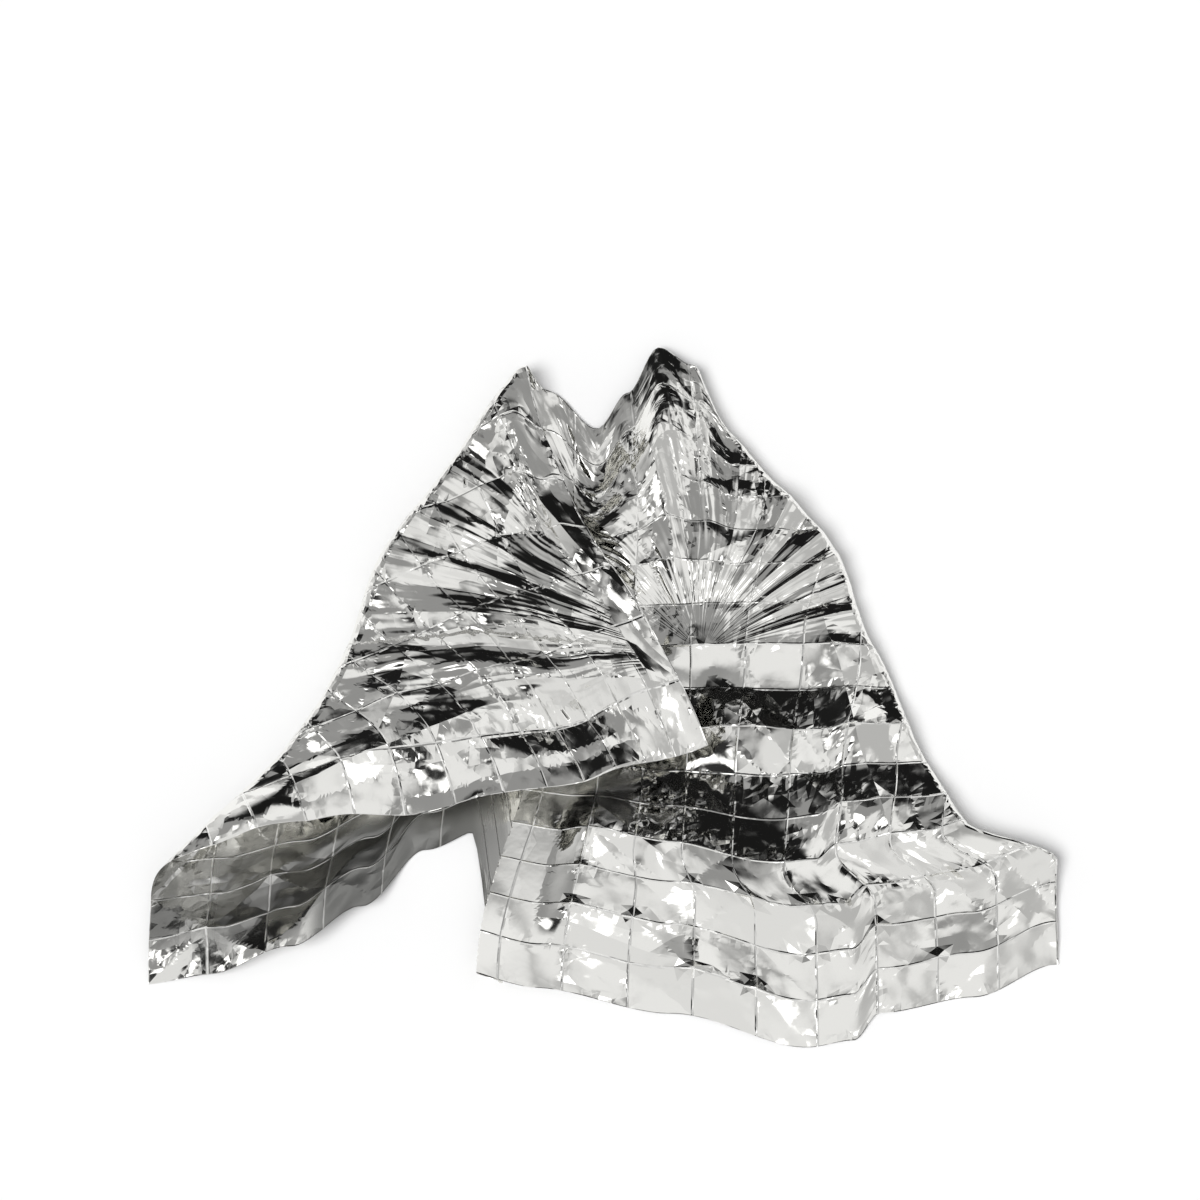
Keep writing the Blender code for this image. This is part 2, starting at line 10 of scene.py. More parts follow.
import bmesh
import bpy
import numpy as np
from bpy.props import FloatProperty, FloatVectorProperty, PointerProperty
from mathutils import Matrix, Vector


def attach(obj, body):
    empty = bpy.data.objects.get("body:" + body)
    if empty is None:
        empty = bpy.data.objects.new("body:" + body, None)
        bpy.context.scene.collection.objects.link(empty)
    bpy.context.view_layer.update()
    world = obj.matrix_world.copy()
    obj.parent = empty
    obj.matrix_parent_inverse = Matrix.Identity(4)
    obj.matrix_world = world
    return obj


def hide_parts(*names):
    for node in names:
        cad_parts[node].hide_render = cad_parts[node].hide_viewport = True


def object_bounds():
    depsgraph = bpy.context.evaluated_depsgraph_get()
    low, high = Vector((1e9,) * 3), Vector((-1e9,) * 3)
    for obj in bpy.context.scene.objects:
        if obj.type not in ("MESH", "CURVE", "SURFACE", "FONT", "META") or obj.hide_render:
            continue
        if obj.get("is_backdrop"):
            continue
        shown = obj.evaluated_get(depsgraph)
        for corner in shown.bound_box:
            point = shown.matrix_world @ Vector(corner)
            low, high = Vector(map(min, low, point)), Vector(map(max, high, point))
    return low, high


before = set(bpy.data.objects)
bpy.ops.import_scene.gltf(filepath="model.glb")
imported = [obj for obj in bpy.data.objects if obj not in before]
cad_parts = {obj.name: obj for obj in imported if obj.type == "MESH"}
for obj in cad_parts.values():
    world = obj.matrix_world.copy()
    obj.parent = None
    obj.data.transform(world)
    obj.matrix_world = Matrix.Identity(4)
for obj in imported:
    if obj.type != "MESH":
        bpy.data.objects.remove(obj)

bl_info = {
    "name": "Emergency Foil Blanket",
    "version": (1, 0, 0),
    "blender": (4, 5, 0),
    "location": "3D View > Sidebar > Foil Blanket",
    "description": "A creased sheet of silver film, laid out with its front corners folded in",
    "category": "Add Mesh",
}

# The sheet as it was cut and packed.
SHEET_WIDTH = 2.10
SHEET_HEIGHT = 1.60
CELLS_ACROSS = 16
CELLS_UP = 16
HALF_WIDTH = SHEET_WIDTH / 2
CELL_WIDTH = SHEET_WIDTH / CELLS_ACROSS
CELL_HEIGHT = SHEET_HEIGHT / CELLS_UP
FLOOR_GAP = 0.0005

# The two diagonal folds, from the top edge to a side edge: the radius that the film turns round, and how
# many cuts let it bend there.
OVER_FOLD = {"side": -1, "top_u": -0.12, "side_v": 0.25, "radius": 0.024, "cuts": 5}
UNDER_FOLD = {"side": 1, "top_u": 0.30, "side_v": 0.30, "radius": 0.019, "cuts": 3}

# How far past its fold the over layer takes to reach its own place, and how far beyond the under
# layer's edges the main layer takes to come down.
OVER_SETTLES = 0.30
UNDER_REACH = 0.16

# The knife pleat, half a cell deep: its size, the turn inside it, the turn that shows as its edge, and
# the film beside it that is tucked in as well. Higher up the sheet it opens: its layers stand at full
# height down to a share of its depth, and from another share they slope.
PLEAT = {"depth": CELL_WIDTH / 2, "radius": 0.009, "full_to": 0.50, "gone_at": 1.20, "spread": 0.35}
PLEAT_STANDS_TO = 0.40
PLEAT_SLOPES_FROM = 0.33
PLEAT_BAND = math.pi * PLEAT["radius"] / 2
PLEAT_INNER = -2.0 * CELL_WIDTH + PLEAT_BAND
PLEAT_EDGE = -1.5 * CELL_WIDTH + PLEAT_BAND
TUCKED_FROM = -2.5 * CELL_WIDTH

# How much shorter the creases make the sheet as it lies.
DRAWN_IN_ACROSS = 0.97
DRAWN_IN_UP = 0.955

# How far each side of the outline is drawn in, at heights up the sheet.
SIDES = (
    # y, left, right
    (0.00, 0.00, 0.00),
    (0.26, 0.00, 0.00),
    (0.38, 0.01, 0.13),
    (0.60, 0.03, 0.10),
    (0.90, 0.03, 0.03),
    (1.20, -0.03, -0.09),
    (1.45, -0.06, -0.06),
    (1.60, 0.00, 0.00),
)

# How far the top edge is pushed up or down: the scooped neckline and the collar's peak beside it.
TOP = (
    # x, rise
    (-0.30, -0.02),
    (-0.14, 0.02),
    (-0.06, -0.06),
    (0.05, -0.15),
    (0.12, -0.07),
    (0.19, 0.04),
    (0.27, -0.01),
    (0.34, -0.08),
)
TOP_FROM_Y = 0.95

# How far the hem is pushed up, along the left part and the right part, and the over layer with it.
HEM_LEFT = (
    # x, rise
    (-0.95, 0.130),
    (-0.78, 0.150),
    (-0.60, 0.200),
    (-0.44, 0.290),
    (-0.30, 0.420),
    (-0.15, 0.470),
)
HEM_RIGHT = (
    # x, rise
    (-0.24, 0.155),
    (-0.05, 0.120),
    (0.22, 0.070),
    (0.50, 0.000),
    (0.60, 0.014),
    (0.66, 0.072),
    (0.86, 0.105),
    (1.05, 0.175),
)
HEM_FADES_AT = 0.95
OVER_PUSH_FADES = {"from": 0.65, "over": 0.70}
OVER_PUSH = (
    # x, rise
    (-0.95, 0.110),
    (-0.60, 0.080),
    (-0.30, 0.030),
    (0.00, -0.030),
    (0.32, -0.075),
)

# How far the pleat's edge leans from the upright, at the hem and at its top.
LEAN = {"half_width": 0.60, "low": -0.030, "high": 0.070, "high_at": 0.62, "gone_over": 0.50}

# How far each layer lies off the one below it, and the over layer's strips and its wavy lower edge.
MAIN_LIFT = 0.010
OVER_LIFT = {"lapel": 0.074, "middle": 0.064, "lower_edge": 0.088}
LAPEL_WIDTH = 0.16
LAPEL_STRIP = 0.08
LOWER_EDGE_WIDTH = 0.18
LOWER_EDGE_WAVE = {"height": 0.016, "per_metre": 8.0, "start": 1.0}

# The low swells of the film, by layer.
SWELLS = {
    # layer: x, y, half width, half height, rise
    "main": (
        (0.16, 0.34, 0.34, 0.22, 0.014),
        (0.42, 1.05, 0.30, 0.34, 0.036),
        (0.16, 1.40, 0.18, 0.22, 0.030),
        (-0.47, 0.13, 0.42, 0.34, 0.080),
    ),
    "over": (
        (-0.04, 0.84, 0.30, 0.20, 0.034),
        (-0.50, 0.62, 0.30, 0.20, 0.026),
        (-0.34, 1.14, 0.24, 0.26, 0.022),
        (-0.86, 0.36, 0.18, 0.16, 0.020),
    ),
}

# The main folds: ridges where the height is positive and troughs where it is negative, and the share
# of their length that they rise over at each end.
FOLD_ENDS = 0.25
FOLDS = {
    # layer: from x, from y, to x, to y, half width, height
    "over": (
        (-0.13, 1.34, 0.18, 0.89, 0.040, 0.016),
        (0.12, 0.84, -0.30, 0.80, 0.055, 0.022),
        (-0.02, 0.78, -0.42, 0.62, 0.050, -0.018),
        (-0.06, 0.88, -0.50, 0.86, 0.045, -0.014),
        (-0.36, 0.72, -0.80, 0.44, 0.060, 0.020),
        (-0.44, 0.92, -0.62, 0.58, 0.055, 0.016),
        (0.10, 0.70, -0.62, 0.40, 0.045, 0.016),
    ),
    "main": (
        (0.02, 1.34, 0.16, 1.00, 0.040, 0.014),
        (0.14, 1.48, 0.22, 1.04, 0.036, 0.015),
        (0.25, 1.52, 0.29, 1.06, 0.036, 0.014),
        (0.26, 0.80, 0.52, 0.64, 0.060, 0.020),
        (0.30, 0.86, 0.74, 0.40, 0.060, 0.016),
        (0.54, 1.02, 0.86, 0.22, 0.075, 0.026),
        (-0.10, 0.52, 0.26, 0.34, 0.060, 0.020),
        (-0.16, 0.18, 0.36, 0.10, 0.055, 0.008),
        (0.84, 0.36, 1.00, 0.10, 0.050, 0.016),
    ),
}

# The pleats that fan out from the chest: where they start and end, and the lines they fold on. The first
# and last of these are flat, and end the fan.
FAN_AT = {"main": (0.29, 0.88), "over": (0.20, 0.90)}
FAN = {"near": 0.08, "full": 0.22, "fades": 0.50, "far": 0.80, "steepness": 0.021}
FAN_FOLDS = {
    "main": {
        "degrees": (8, 17, 24, 30, 37, 44, 49, 55, 62, 69, 75, 83, 92, 100),
        "heights": (0.0, 0.9, -0.8, 0.7, -0.9, 1.0, -0.7, 0.8, -1.0, 0.9, -0.6, 0.8, -0.5, 0.0),
    },
    "over": {
        "degrees": (120, 127, 133, 138, 144, 150, 156, 161, 167, 174, 181, 190, 200),
        "heights": (0.0, 0.8, -0.7, 0.4, -0.7, 0.7, -0.5, 0.4, -0.6, 0.5, -0.4, 0.3, 0.0),
    },
}

# The packing creases: rows fold to and fro, crossings are uneven, and each cell has a dent or a bump.
ROW_ZIGZAG = {"height": 0.006, "high_up": 0.0025, "from_row": 9.0, "to_row": 11.0}
CROSSING_UNEVEN = 0.005
CREASE_UNEVEN = 0.003
CELL_DENT = 0.007
OVER_SHARE = 0.9

# Low on the right the rows rise slowly from the hem and fall steeply behind: how high each row lies, and
# the share of it that columns have. The film is less uneven there, and a row that falls by STEEP_FALL
# counts as fully steep.
LOW_RISES = (0.000, 0.011, 0.024, 0.039, 0.057, 0.028, -0.001, 0.022, -0.004, 0.010, 0.000)
LOW_COLUMNS = (4, 6, 7, 12, 13, 14, 15, 16)
LOW_SHARES = (0.0, 0.5, 0.9, 1.0, 0.5, 0.3, 0.5, 0.4)
LOW_CALM = 0.7
STEEP_FALL = 0.02

# Beneath the over layer and in the knife pleat the film is pressed flatter: how much of its creases is
# left there, and where that starts.
HIDDEN_SHARE = 0.2
HIDDEN_FROM = {"inside": -0.06, "over": 0.08}
IN_PLEAT_SHARE = 0.05
IN_PLEAT = {"half_width": 0.26, "firmness": 2.2, "full_at": 0.25}

# Crossings that stand up as small tents.
TENTS = (
    # column, row, rise
    (9, 2, 0.016),
    (10, 1, 0.015),
    (11, 3, 0.024),
    (12, 3, 0.018),
    (11, 1, 0.016),
    (8, 2, 0.018),
    (8, 4, 0.014),
    (13, 2, 0.012),
    (11, 6, 0.010),
    (0, 2, 0.030),
    (1, 1, 0.044),
    (2, 0, 0.020),
    (2, 2, 0.026),
    (3, 1, 0.016),
    (3, 8, 0.012),
    (4, 9, -0.008),
)

# The tents' sharp tips, and how near a crossing a corner lies that is lifted as one.
ON_CROSSING = 0.01
TENT_PEAKS = (
    # column, row, rise
    (7, 1, 0.010),
    (8, 2, 0.012),
    (9, 2, 0.009),
    (8, 3, 0.008),
    (10, 1, 0.012),
    (11, 1, 0.010),
    (10, 3, 0.009),
    (11, 3, 0.011),
    (12, 3, 0.009),
    (12, 2, 0.008),
    (13, 2, 0.010),
    (14, 1, 0.008),
    (1, 1, 0.012),
    (2, 2, 0.010),
    (1, 2, 0.010),
    (3, 8, 0.010),
    (4, 7, 0.008),
)

# The crumpled places: the corner at the hem, the collar, and the crease beside the over layer's lower
# edge.
CRUMPLED = (
    # u, v, half width, uneven
    (-0.98, 0.14, 0.36, 0.014),
    (0.20, 1.44, 0.28, 0.008),
    (-0.92, 0.82, 0.10, 0.003),
    (-0.92, 0.98, 0.11, 0.003),
    (-0.92, 1.15, 0.11, 0.003),
    (-0.92, 1.32, 0.10, 0.003),
)

# The crumples between the creases: facets in a cell, the share of a facet that its corners stray, and how
# far they stray on a crease. A cut takes a corner that is as near as CUT_SNAPS, edges over LONGEST_EDGE
# are split once more, and facets that meet at SHARP_FROM or more have a sharp edge.
FACETS_IN_CELL = 4
FACET_STRAYS = 0.30
CREASE_STRAYS = 0.002
CUT_SNAPS = 0.0015
LONGEST_EDGE = 0.0125
SHARP_FROM = math.radians(5.0)

# How far from a crease the film is crumpled by it, how much of the crumples is left elsewhere, and how
# much more of them the crumpled places have.
CREASE_HALF_WIDTH = 0.020
QUIET_SHARE = 0.1
CRUMPLED_SHARE = 0.25

# What chance makes uneven, each in a pattern of its own, and how many steps of it there are in a metre.
KIND = {
    "crossing": 1,
    "upright crease": 2,
    "level crease": 3,
    "dent": 4,
    "facet across": 11,
    "facet up": 12,
    "crease across": 13,
    "crease up": 14,
    "crumple": 21,
    "crinkle": 22,
}
CHANCE_STEPS = {"across": 977.0, "up": 1013.0}

# The soft ripples, and the patches in which the creases are crumpled.
RIPPLES = (
    # per metre across, per metre up, start, share
    (7.1, 11.3, 0.4, 0.5),
    (13.7, -6.9, 2.1, 0.4),
    (-4.3, 19.1, 4.0, 0.3),
    (23.3, 9.7, 1.3, 0.25),
)
PATCHES = (
    # per metre across, per metre up, start, share
    (2.3, 3.1, 0.9, 0.7),
    (-3.7, 2.9, 2.2, 0.7),
    (5.9, -6.7, 4.1, 0.6),
)

# The film's finest facets, which only turn its shine: how many of them in a metre, their share of the
# tilt beside the creases and elsewhere, how much more of it the crumpled places have, and how far from a
# crease counts as beside it.
TILTED_WITHIN = 0.018
FINE_FACETS = (
    # per metre, share near creases, share elsewhere, more where crumpled
    (9.0, 0.45, 0.45, 2.5),
    (26.0, 0.6, 0.15, 3.0),
    (58.0, 0.8, 0.04, 0.5),
)

# The jagged crinkles: long thin facets at a slant, in patches within JAGGED_WITHIN of the creases, in the
# crumpled places and on the rows that fall steeply.
JAGGED_WITHIN = 0.024
STROKES = (
    # degrees, per metre along, per metre across, tilt
    (82.0, 15.0, 62.0, 0.55),
    (24.0, 19.0, 80.0, 0.45),
)

# How far the fine facets lean back towards the neckline: on the rows that fall steeply, in the fans, and
# in places of the flat sheet.
STEEP_LEAN = 0.12
FAN_LEAN = -0.08
LEANS = (
    # u, v, half width, half height, lean
    (0.44, 0.64, 0.54, 0.42, 0.15),
    (0.22, 1.42, 0.28, 0.26, 0.09),
    (-0.90, 0.10, 0.32, 0.28, 0.15),
    (-1.05, 1.00, 0.15, 0.80, -0.17),
)

# Where the film is dull and smooth, with painted shade that darkens it to grey, low on the left and beneath
# the over layer's lower edge: each place's middle, half sizes and soft edge, and how much of both it has.
DULL_AND_PAINTED_SHADE = (
    # u, v, half width, half height, soft edge, share
    (-0.49, 0.06, 0.16, 0.16, 0.08, 1.0),
    (-0.77, 0.18, 0.13, 0.10, 0.07, 0.8),
    (-0.96, 0.19, 0.08, 0.08, 0.06, 0.5),
    (-0.04, 0.50, 0.12, 0.05, 0.06, 0.55),
)
DULL_ROUGHNESS = 0.26

# Cloudy patterns of the finish: clouds in a metre, and the levels between which each goes from none to
# all. They part the facets and crinkles into patches, and make the worn lines uneven.
CLOUDS = {
    "facets": (9.0, 0.42, 0.62),
    "crinkles": (5.0, 0.50, 0.62),
    "steep rows": (11.0, 0.47, 0.60),
    "worn lines": (17.0, 0.35, 0.65),
}

# How much the lines of the creases and of the facets bend: bends in a metre, and how far.
CREASE_BENDS = (14.0, 0.003)
FACET_BENDS = (22.0, 0.012)

# The worn lines along the creases: half their width, their roughness, how much of them is left in the
# fans, and the least and the most that they stand up.
WORN_LINE = {"half_width": 0.003, "roughness": 0.16, "in_fans": 0.35, "low": 0.0004, "high": 0.0018}

# The finest ripples, in a metre, and their height.
FINE_RIPPLE = {"per_metre": 26.0, "height": 0.0003}

# The fine pleats of the fans: the degrees between which they lie, and how far out. They are streaks, so
# many in a radian and in a metre, that fold to and fro and rise by a share of their reach.
FINE_FAN = {"main": (5.0, 150.0), "over": (118.0, 205.0), "soft": 10.0, "full": 0.10, "fades": 0.55}
FINE_PLEAT = {"per_radian": 15.0, "per_metre": 3.0, "folds": 3.0, "height": 0.008}

# The camera looks down on the blanket. The picture is 1200 by 1200, and the blanket's middle is at
# PICTURE_MIDDLE in it.
PICTURE_SIZE = 1200
PICTURE_MIDDLE = (604, 676)
BLANKET_PIXELS = 892
CAMERA_ELEVATION = math.radians(72.0)
CAMERA_LENS = 85.0
CAMERA_SENSOR = 36.0
CAMERA_SEES_TO = 200.0

# The floor, and the soft light from above: how wide it is and how it is turned.
FLOOR = {"half_width": 60.0, "roughness": 0.9, "shine": 0.1}
KEY_LIGHT = {"width": math.radians(30.0), "turn": (math.radians(20.0), math.radians(-25.0), 0.0)}

# The studio's soft surroundings, which the film mirrors: their light by height, and panels in them.
SKY = (
    # height, level
    (0.00, 0.78),
    (0.20, 0.66),
    (0.45, 0.50),
    (0.75, 0.50),
    (0.92, 0.52),
    (1.00, 0.60),
)
PANELS = (
    # degrees from +Y towards +X, degrees up, half width in degrees, soft edge in degrees, level
    (180.0, 52.0, 18.0, 26.0, 0.78),
    (-50.0, 62.0, 8.0, 34.0, 0.30),
    (0.0, 28.0, 15.0, 17.0, 0.010),
    (-34.0, 29.0, 9.0, 15.0, 0.012),
    (30.0, 25.0, 9.0, 15.0, 0.010),
    (-112.0, 46.0, 8.0, 12.0, 0.03),
    (50.0, 55.0, 6.0, 13.0, 0.90),
    (180.0, 84.0, 6.0, 18.0, 0.86),
    (-99.0, 54.0, 3.0, 9.0, 1.90),
    (150.0, 66.0, 1.5, 8.0, 2.00),
)


def ease(t):
    """0 to 1 with soft ends, as t goes from 0 to 1."""
    t = np.clip(t, 0.0, 1.0)
    return t * t * (3 - 2 * t)


def bell(t):
    """1 at t 0, and 0 with soft ends past t -1 and 1."""
    return 1 - ease(np.abs(t))


def between(low, high, share):
    """Low to high, as the share goes from 0 to 1."""
    return low + (high - low) * share


def chance(column, row, kind):
    """An uneven number from -1 to 1 that is always the same at the same crossing."""
    spread = np.sin(column * 12.9898 + row * 78.233 + kind * 37.719) * 437.585
    return 2 * (spread - np.floor(spread)) - 1


def along(rows, at, column):
    """A table's column at places between its rows, on a soft line."""
    value = np.full_like(at, rows[0][column])
    for low, high in zip(rows, rows[1:]):
        value += (high[column] - low[column]) * ease((at - low[0]) / (high[0] - low[0]))
    return value


def fold_line(fold):
    """A diagonal fold's top point and the unit normal that points into the corner it folds."""
    top = np.array((fold["top_u"], SHEET_HEIGHT))
    end = np.array((fold["side"] * HALF_WIDTH, fold["side_v"]))
    run = (end - top) / np.linalg.norm(end - top)
    return top, np.array((run[1], -run[0])) * -fold["side"]


OVER_TOP, OVER_NORMAL = fold_line(OVER_FOLD)
UNDER_TOP, UNDER_NORMAL = fold_line(UNDER_FOLD)


def past_fold(x, y, top, normal):
    """How far points lie past a diagonal fold."""
    return (x - top[0]) * normal[0] + (y - top[1]) * normal[1]


def mirrored(x, y, top, normal):
    """The image of points on the other side of a diagonal fold."""
    past = past_fold(x, y, top, normal)
    return x - 2 * past * normal[0], y - 2 * past * normal[1]


def band_of(radius):
    """Half the film's length round a fold."""
    return math.pi * radius / 2


def roll(past, radius):
    """Where the film lies after a fold, for points that far past it, and its share of the turn."""
    band = band_of(radius)
    angle = np.clip((past + band) / radius, 0.0, math.pi)
    back = -band + radius * np.sin(angle) + np.minimum(past + band, 0.0) - np.maximum(past - band, 0.0)
    return back, (1 - np.cos(angle)) / 2


def pleat_share(y):
    """How much of the knife pleat there is at heights up the sheet."""
    return 1 - ease((y - PLEAT["full_to"]) / (PLEAT["gone_at"] - PLEAT["full_to"]))


def pleat_stack(y):
    """The height of the pleat's turned layers at heights up the sheet."""
    return 4 * PLEAT["radius"] * ease(pleat_share(y) / PLEAT_STANDS_TO)


def pleated(u, y):
    """Where the knife pleat puts points across the sheet, and how high it lifts them."""
    left_back, left_turned = roll(u - PLEAT_INNER, PLEAT["radius"])
    right_back, right_turned = roll(u - PLEAT_EDGE, PLEAT["radius"])
    left = u < (PLEAT_INNER + PLEAT_EDGE) / 2
    folded = np.where(left, PLEAT_INNER + 2 * PLEAT["depth"] + left_back, PLEAT_EDGE - right_back)
    rise = np.where(left, left_turned / 2, 0.5 + right_turned / 2)
    slope = np.clip((u - PLEAT_INNER + PLEAT_BAND) / (PLEAT["depth"] + 2 * PLEAT_BAND), 0.0, 1.0)
    share = pleat_share(y)
    rise += (slope - rise) * ease((1 - share) / PLEAT_SLOPES_FROM)
    return u + (folded - u) * share, rise * pleat_stack(y)


def covered(x, y, right_share):
    """How far inside the over layer's edges points lie; negative where they are uncovered."""
    pure_x = x - 2 * PLEAT["depth"] * pleat_share(y)
    inside = -past_fold(pure_x, y, OVER_TOP, OVER_NORMAL) - band_of(OVER_FOLD["radius"])
    slip = over_slip(x, y, right_share, ease(inside / OVER_SETTLES)) / DRAWN_IN_UP
    image_x, image_y = mirrored(pure_x, y - slip, OVER_TOP, OVER_NORMAL)
    return np.minimum(image_x + HALF_WIDTH, SHEET_HEIGHT - image_y)


def carried(x, y):
    """How much of the under layer's height the main layer is lifted by, 0 to 1."""
    image_x, image_y = mirrored(x, y, UNDER_TOP, UNDER_NORMAL)
    outside = np.maximum(np.maximum(image_x - HALF_WIDTH, image_y - SHEET_HEIGHT), 0.0)
    return 1 - ease(outside / UNDER_REACH)


def low_share(column, row):
    """How much of the low right's own rows there is at crossings, 0 to 1."""
    return np.interp(column, LOW_COLUMNS, LOW_SHARES) * (row < len(LOW_RISES) - 1)


def crossing_height(column, row):
    """The height of the film where packing creases cross."""
    uneven = CROSSING_UNEVEN
    for at_u, at_v, half_width, more in CRUMPLED:
        away = np.hypot(column * CELL_WIDTH - HALF_WIDTH - at_u, row * CELL_HEIGHT - at_v)
        uneven = uneven + more * bell(away / half_width)
    high_up = ease((row - ROW_ZIGZAG["from_row"]) / (ROW_ZIGZAG["to_row"] - ROW_ZIGZAG["from_row"]))
    zigzag = between(ROW_ZIGZAG["height"], ROW_ZIGZAG["high_up"], high_up)
    height = zigzag * np.where(row % 2 == 1, 1, -1) + uneven * chance(column, row, KIND["crossing"])
    low = low_share(column, row)
    low_rise = np.interp(row, range(len(LOW_RISES)), LOW_RISES)
    height = height * (1 - LOW_CALM * low) + low_rise * low
    for at_column, at_row, rise in TENTS:
        height += np.where((column == at_column) & (row == at_row), rise, 0.0)
    return height


def in_cells(u, v):
    """Points of the flat sheet counted in cells from its lower left corner."""
    return (u + HALF_WIDTH) / CELL_WIDTH, v / CELL_HEIGHT


def facet_height(u, v):
    """The height of the film's large facets: each cell is eight triangles round a dent or a bump."""
    across, up = in_cells(u, v)
    column = np.clip(np.floor(across), 0, CELLS_ACROSS - 1)
    row = np.clip(np.floor(up), 0, CELLS_UP - 1)
    right = column + (across - column > 0.5)
    upper = row + (up - row > 0.5)
    off_x = np.abs(across - column - 0.5) * 2
    off_y = np.abs(up - row - 0.5) * 2

    corner = crossing_height(right, upper)
    beside = crossing_height(2 * column + 1 - right, upper)
    above = crossing_height(right, 2 * row + 1 - upper)
    across_from = crossing_height(2 * column + 1 - right, 2 * row + 1 - upper)
    upright_crease = (corner + above) / 2 + CREASE_UNEVEN * chance(right, row, KIND["upright crease"])
    level_crease = (corner + beside) / 2 + CREASE_UNEVEN * chance(column, upper, KIND["level crease"])
    crease = np.where(off_x > off_y, upright_crease, level_crease)
    calm = 1 - LOW_CALM * low_share(column + 0.5, row + 0.5)
    dent = CELL_DENT * calm * chance(column, row, KIND["dent"])
    middle = (corner + beside + above + across_from) / 4 + dent
    near = np.maximum(off_x, off_y)
    far = np.minimum(off_x, off_y)
    return middle * (1 - near) + crease * (near - far) + corner * far


def swell(layer, x, y):
    """The height of a layer's swells."""
    height = np.zeros_like(x)
    for at_x, at_y, half_width, half_height, rise in SWELLS[layer]:
        height += rise * bell(np.hypot((x - at_x) / half_width, (y - at_y) / half_height))
    return height


def fold_height(layer, x, y):
    """The height of a layer's main folds: straight ridges and troughs that fade at their ends."""
    height = np.zeros_like(x)
    for x0, y0, x1, y1, half_width, rise in FOLDS[layer]:
        run_x, run_y = x1 - x0, y1 - y0
        length = math.hypot(run_x, run_y)
        share = ((x - x0) * run_x + (y - y0) * run_y) / length**2
        off = np.abs((x - x0) * run_y - (y - y0) * run_x) / length
        ends = ease(share / FOLD_ENDS) * ease((1 - share) / FOLD_ENDS)
        height += rise * ends * np.maximum(0.0, 1 - off / half_width)
    return height


def fan_height(layer, x, y):
    """The height of the pleats that fan out from the chest."""
    reach_x, reach_y = x - FAN_AT[layer][0], y - FAN_AT[layer][1]
    reach = np.hypot(reach_x, reach_y)
    degrees = np.degrees(np.arctan2(reach_y, reach_x)) % 360
    share = np.interp(degrees, FAN_FOLDS[layer]["degrees"], FAN_FOLDS[layer]["heights"])
    start = ease((reach - FAN["near"]) / (FAN["full"] - FAN["near"]))
    end = 1 - ease((reach - FAN["fades"]) / (FAN["far"] - FAN["fades"]))
    return FAN["steepness"] * np.minimum(reach, FAN["fades"]) * share * start * end


def hem_rise(x, y, right_share):
    """How far points are pushed up with the hem."""
    rise = between(along(HEM_LEFT, x, 1), along(HEM_RIGHT, x, 1), right_share)
    return rise * (1 - ease(y / HEM_FADES_AT))


def over_slip(x, y, right_share, over_share):
    """How much further up than the main layer the over layer is pushed."""
    push = along(OVER_PUSH, x, 1) * (1 - ease((y - OVER_PUSH_FADES["from"]) / OVER_PUSH_FADES["over"]))
    return (push - hem_rise(x, y, right_share)) * over_share


def plan(x, y, right_share, over_share):
    """Where points of the folded sheet lie on the floor: drawn in, with its uneven outline."""
    move = between(LEAN["low"], LEAN["high"], ease(y / LEAN["high_at"]))
    move *= bell((x - PLEAT_EDGE) / LEAN["half_width"])
    move *= 1 - ease((y - LEAN["high_at"]) / LEAN["gone_over"])
    side = np.where(x > 0, along(SIDES, y, 2), along(SIDES, y, 1))
    out_x = x * DRAWN_IN_ACROSS - side * x / HALF_WIDTH + move
    out_y = y * DRAWN_IN_UP + hem_rise(x, y, right_share) + over_slip(x, y, right_share, over_share)
    out_y += along(TOP, x, 1) * ease((y - TOP_FROM_Y) / (SHEET_HEIGHT - TOP_FROM_Y))
    return out_x, out_y


def main_height(x, y, facets, rise, right_part, flatter, hidden):
    """The height of the main layer."""
    height = facets * flatter * (1 - (1 - HIDDEN_SHARE) * hidden)
    height += (fold_height("main", x, y) + fan_height("main", x, y)) * (1 - hidden) * flatter
    beside = pleat_stack(y) * (1 - ease((x - PLEAT_EDGE) / PLEAT["spread"]))
    return height + np.where(right_part, beside, rise)


def over_height(u, v, x, main_y, pure_x, y, facets):
    """The height of the over layer above the main one."""
    lapel = 1 - ease((SHEET_HEIGHT - v) / LAPEL_WIDTH)
    lower_edge = 1 - ease((u + HALF_WIDTH) / LOWER_EDGE_WIDTH)
    wave = np.sin(LOWER_EDGE_WAVE["per_metre"] * x + LOWER_EDGE_WAVE["start"])
    lift = between(OVER_LIFT["middle"], OVER_LIFT["lower_edge"], lower_edge)
    lift += LOWER_EDGE_WAVE["height"] * lower_edge * wave
    lift += (OVER_LIFT["lapel"] - lift) * lapel * (1 - lower_edge)
    lift += pleat_stack(main_y) * bell((x - PLEAT_EDGE) / PLEAT["spread"])
    height = lift + facets * OVER_SHARE + swell("over", pure_x, y) + fold_height("over", pure_x, y)
    return height + fan_height("over", pure_x, y) * ease((SHEET_HEIGHT - v) / LAPEL_STRIP - 1)


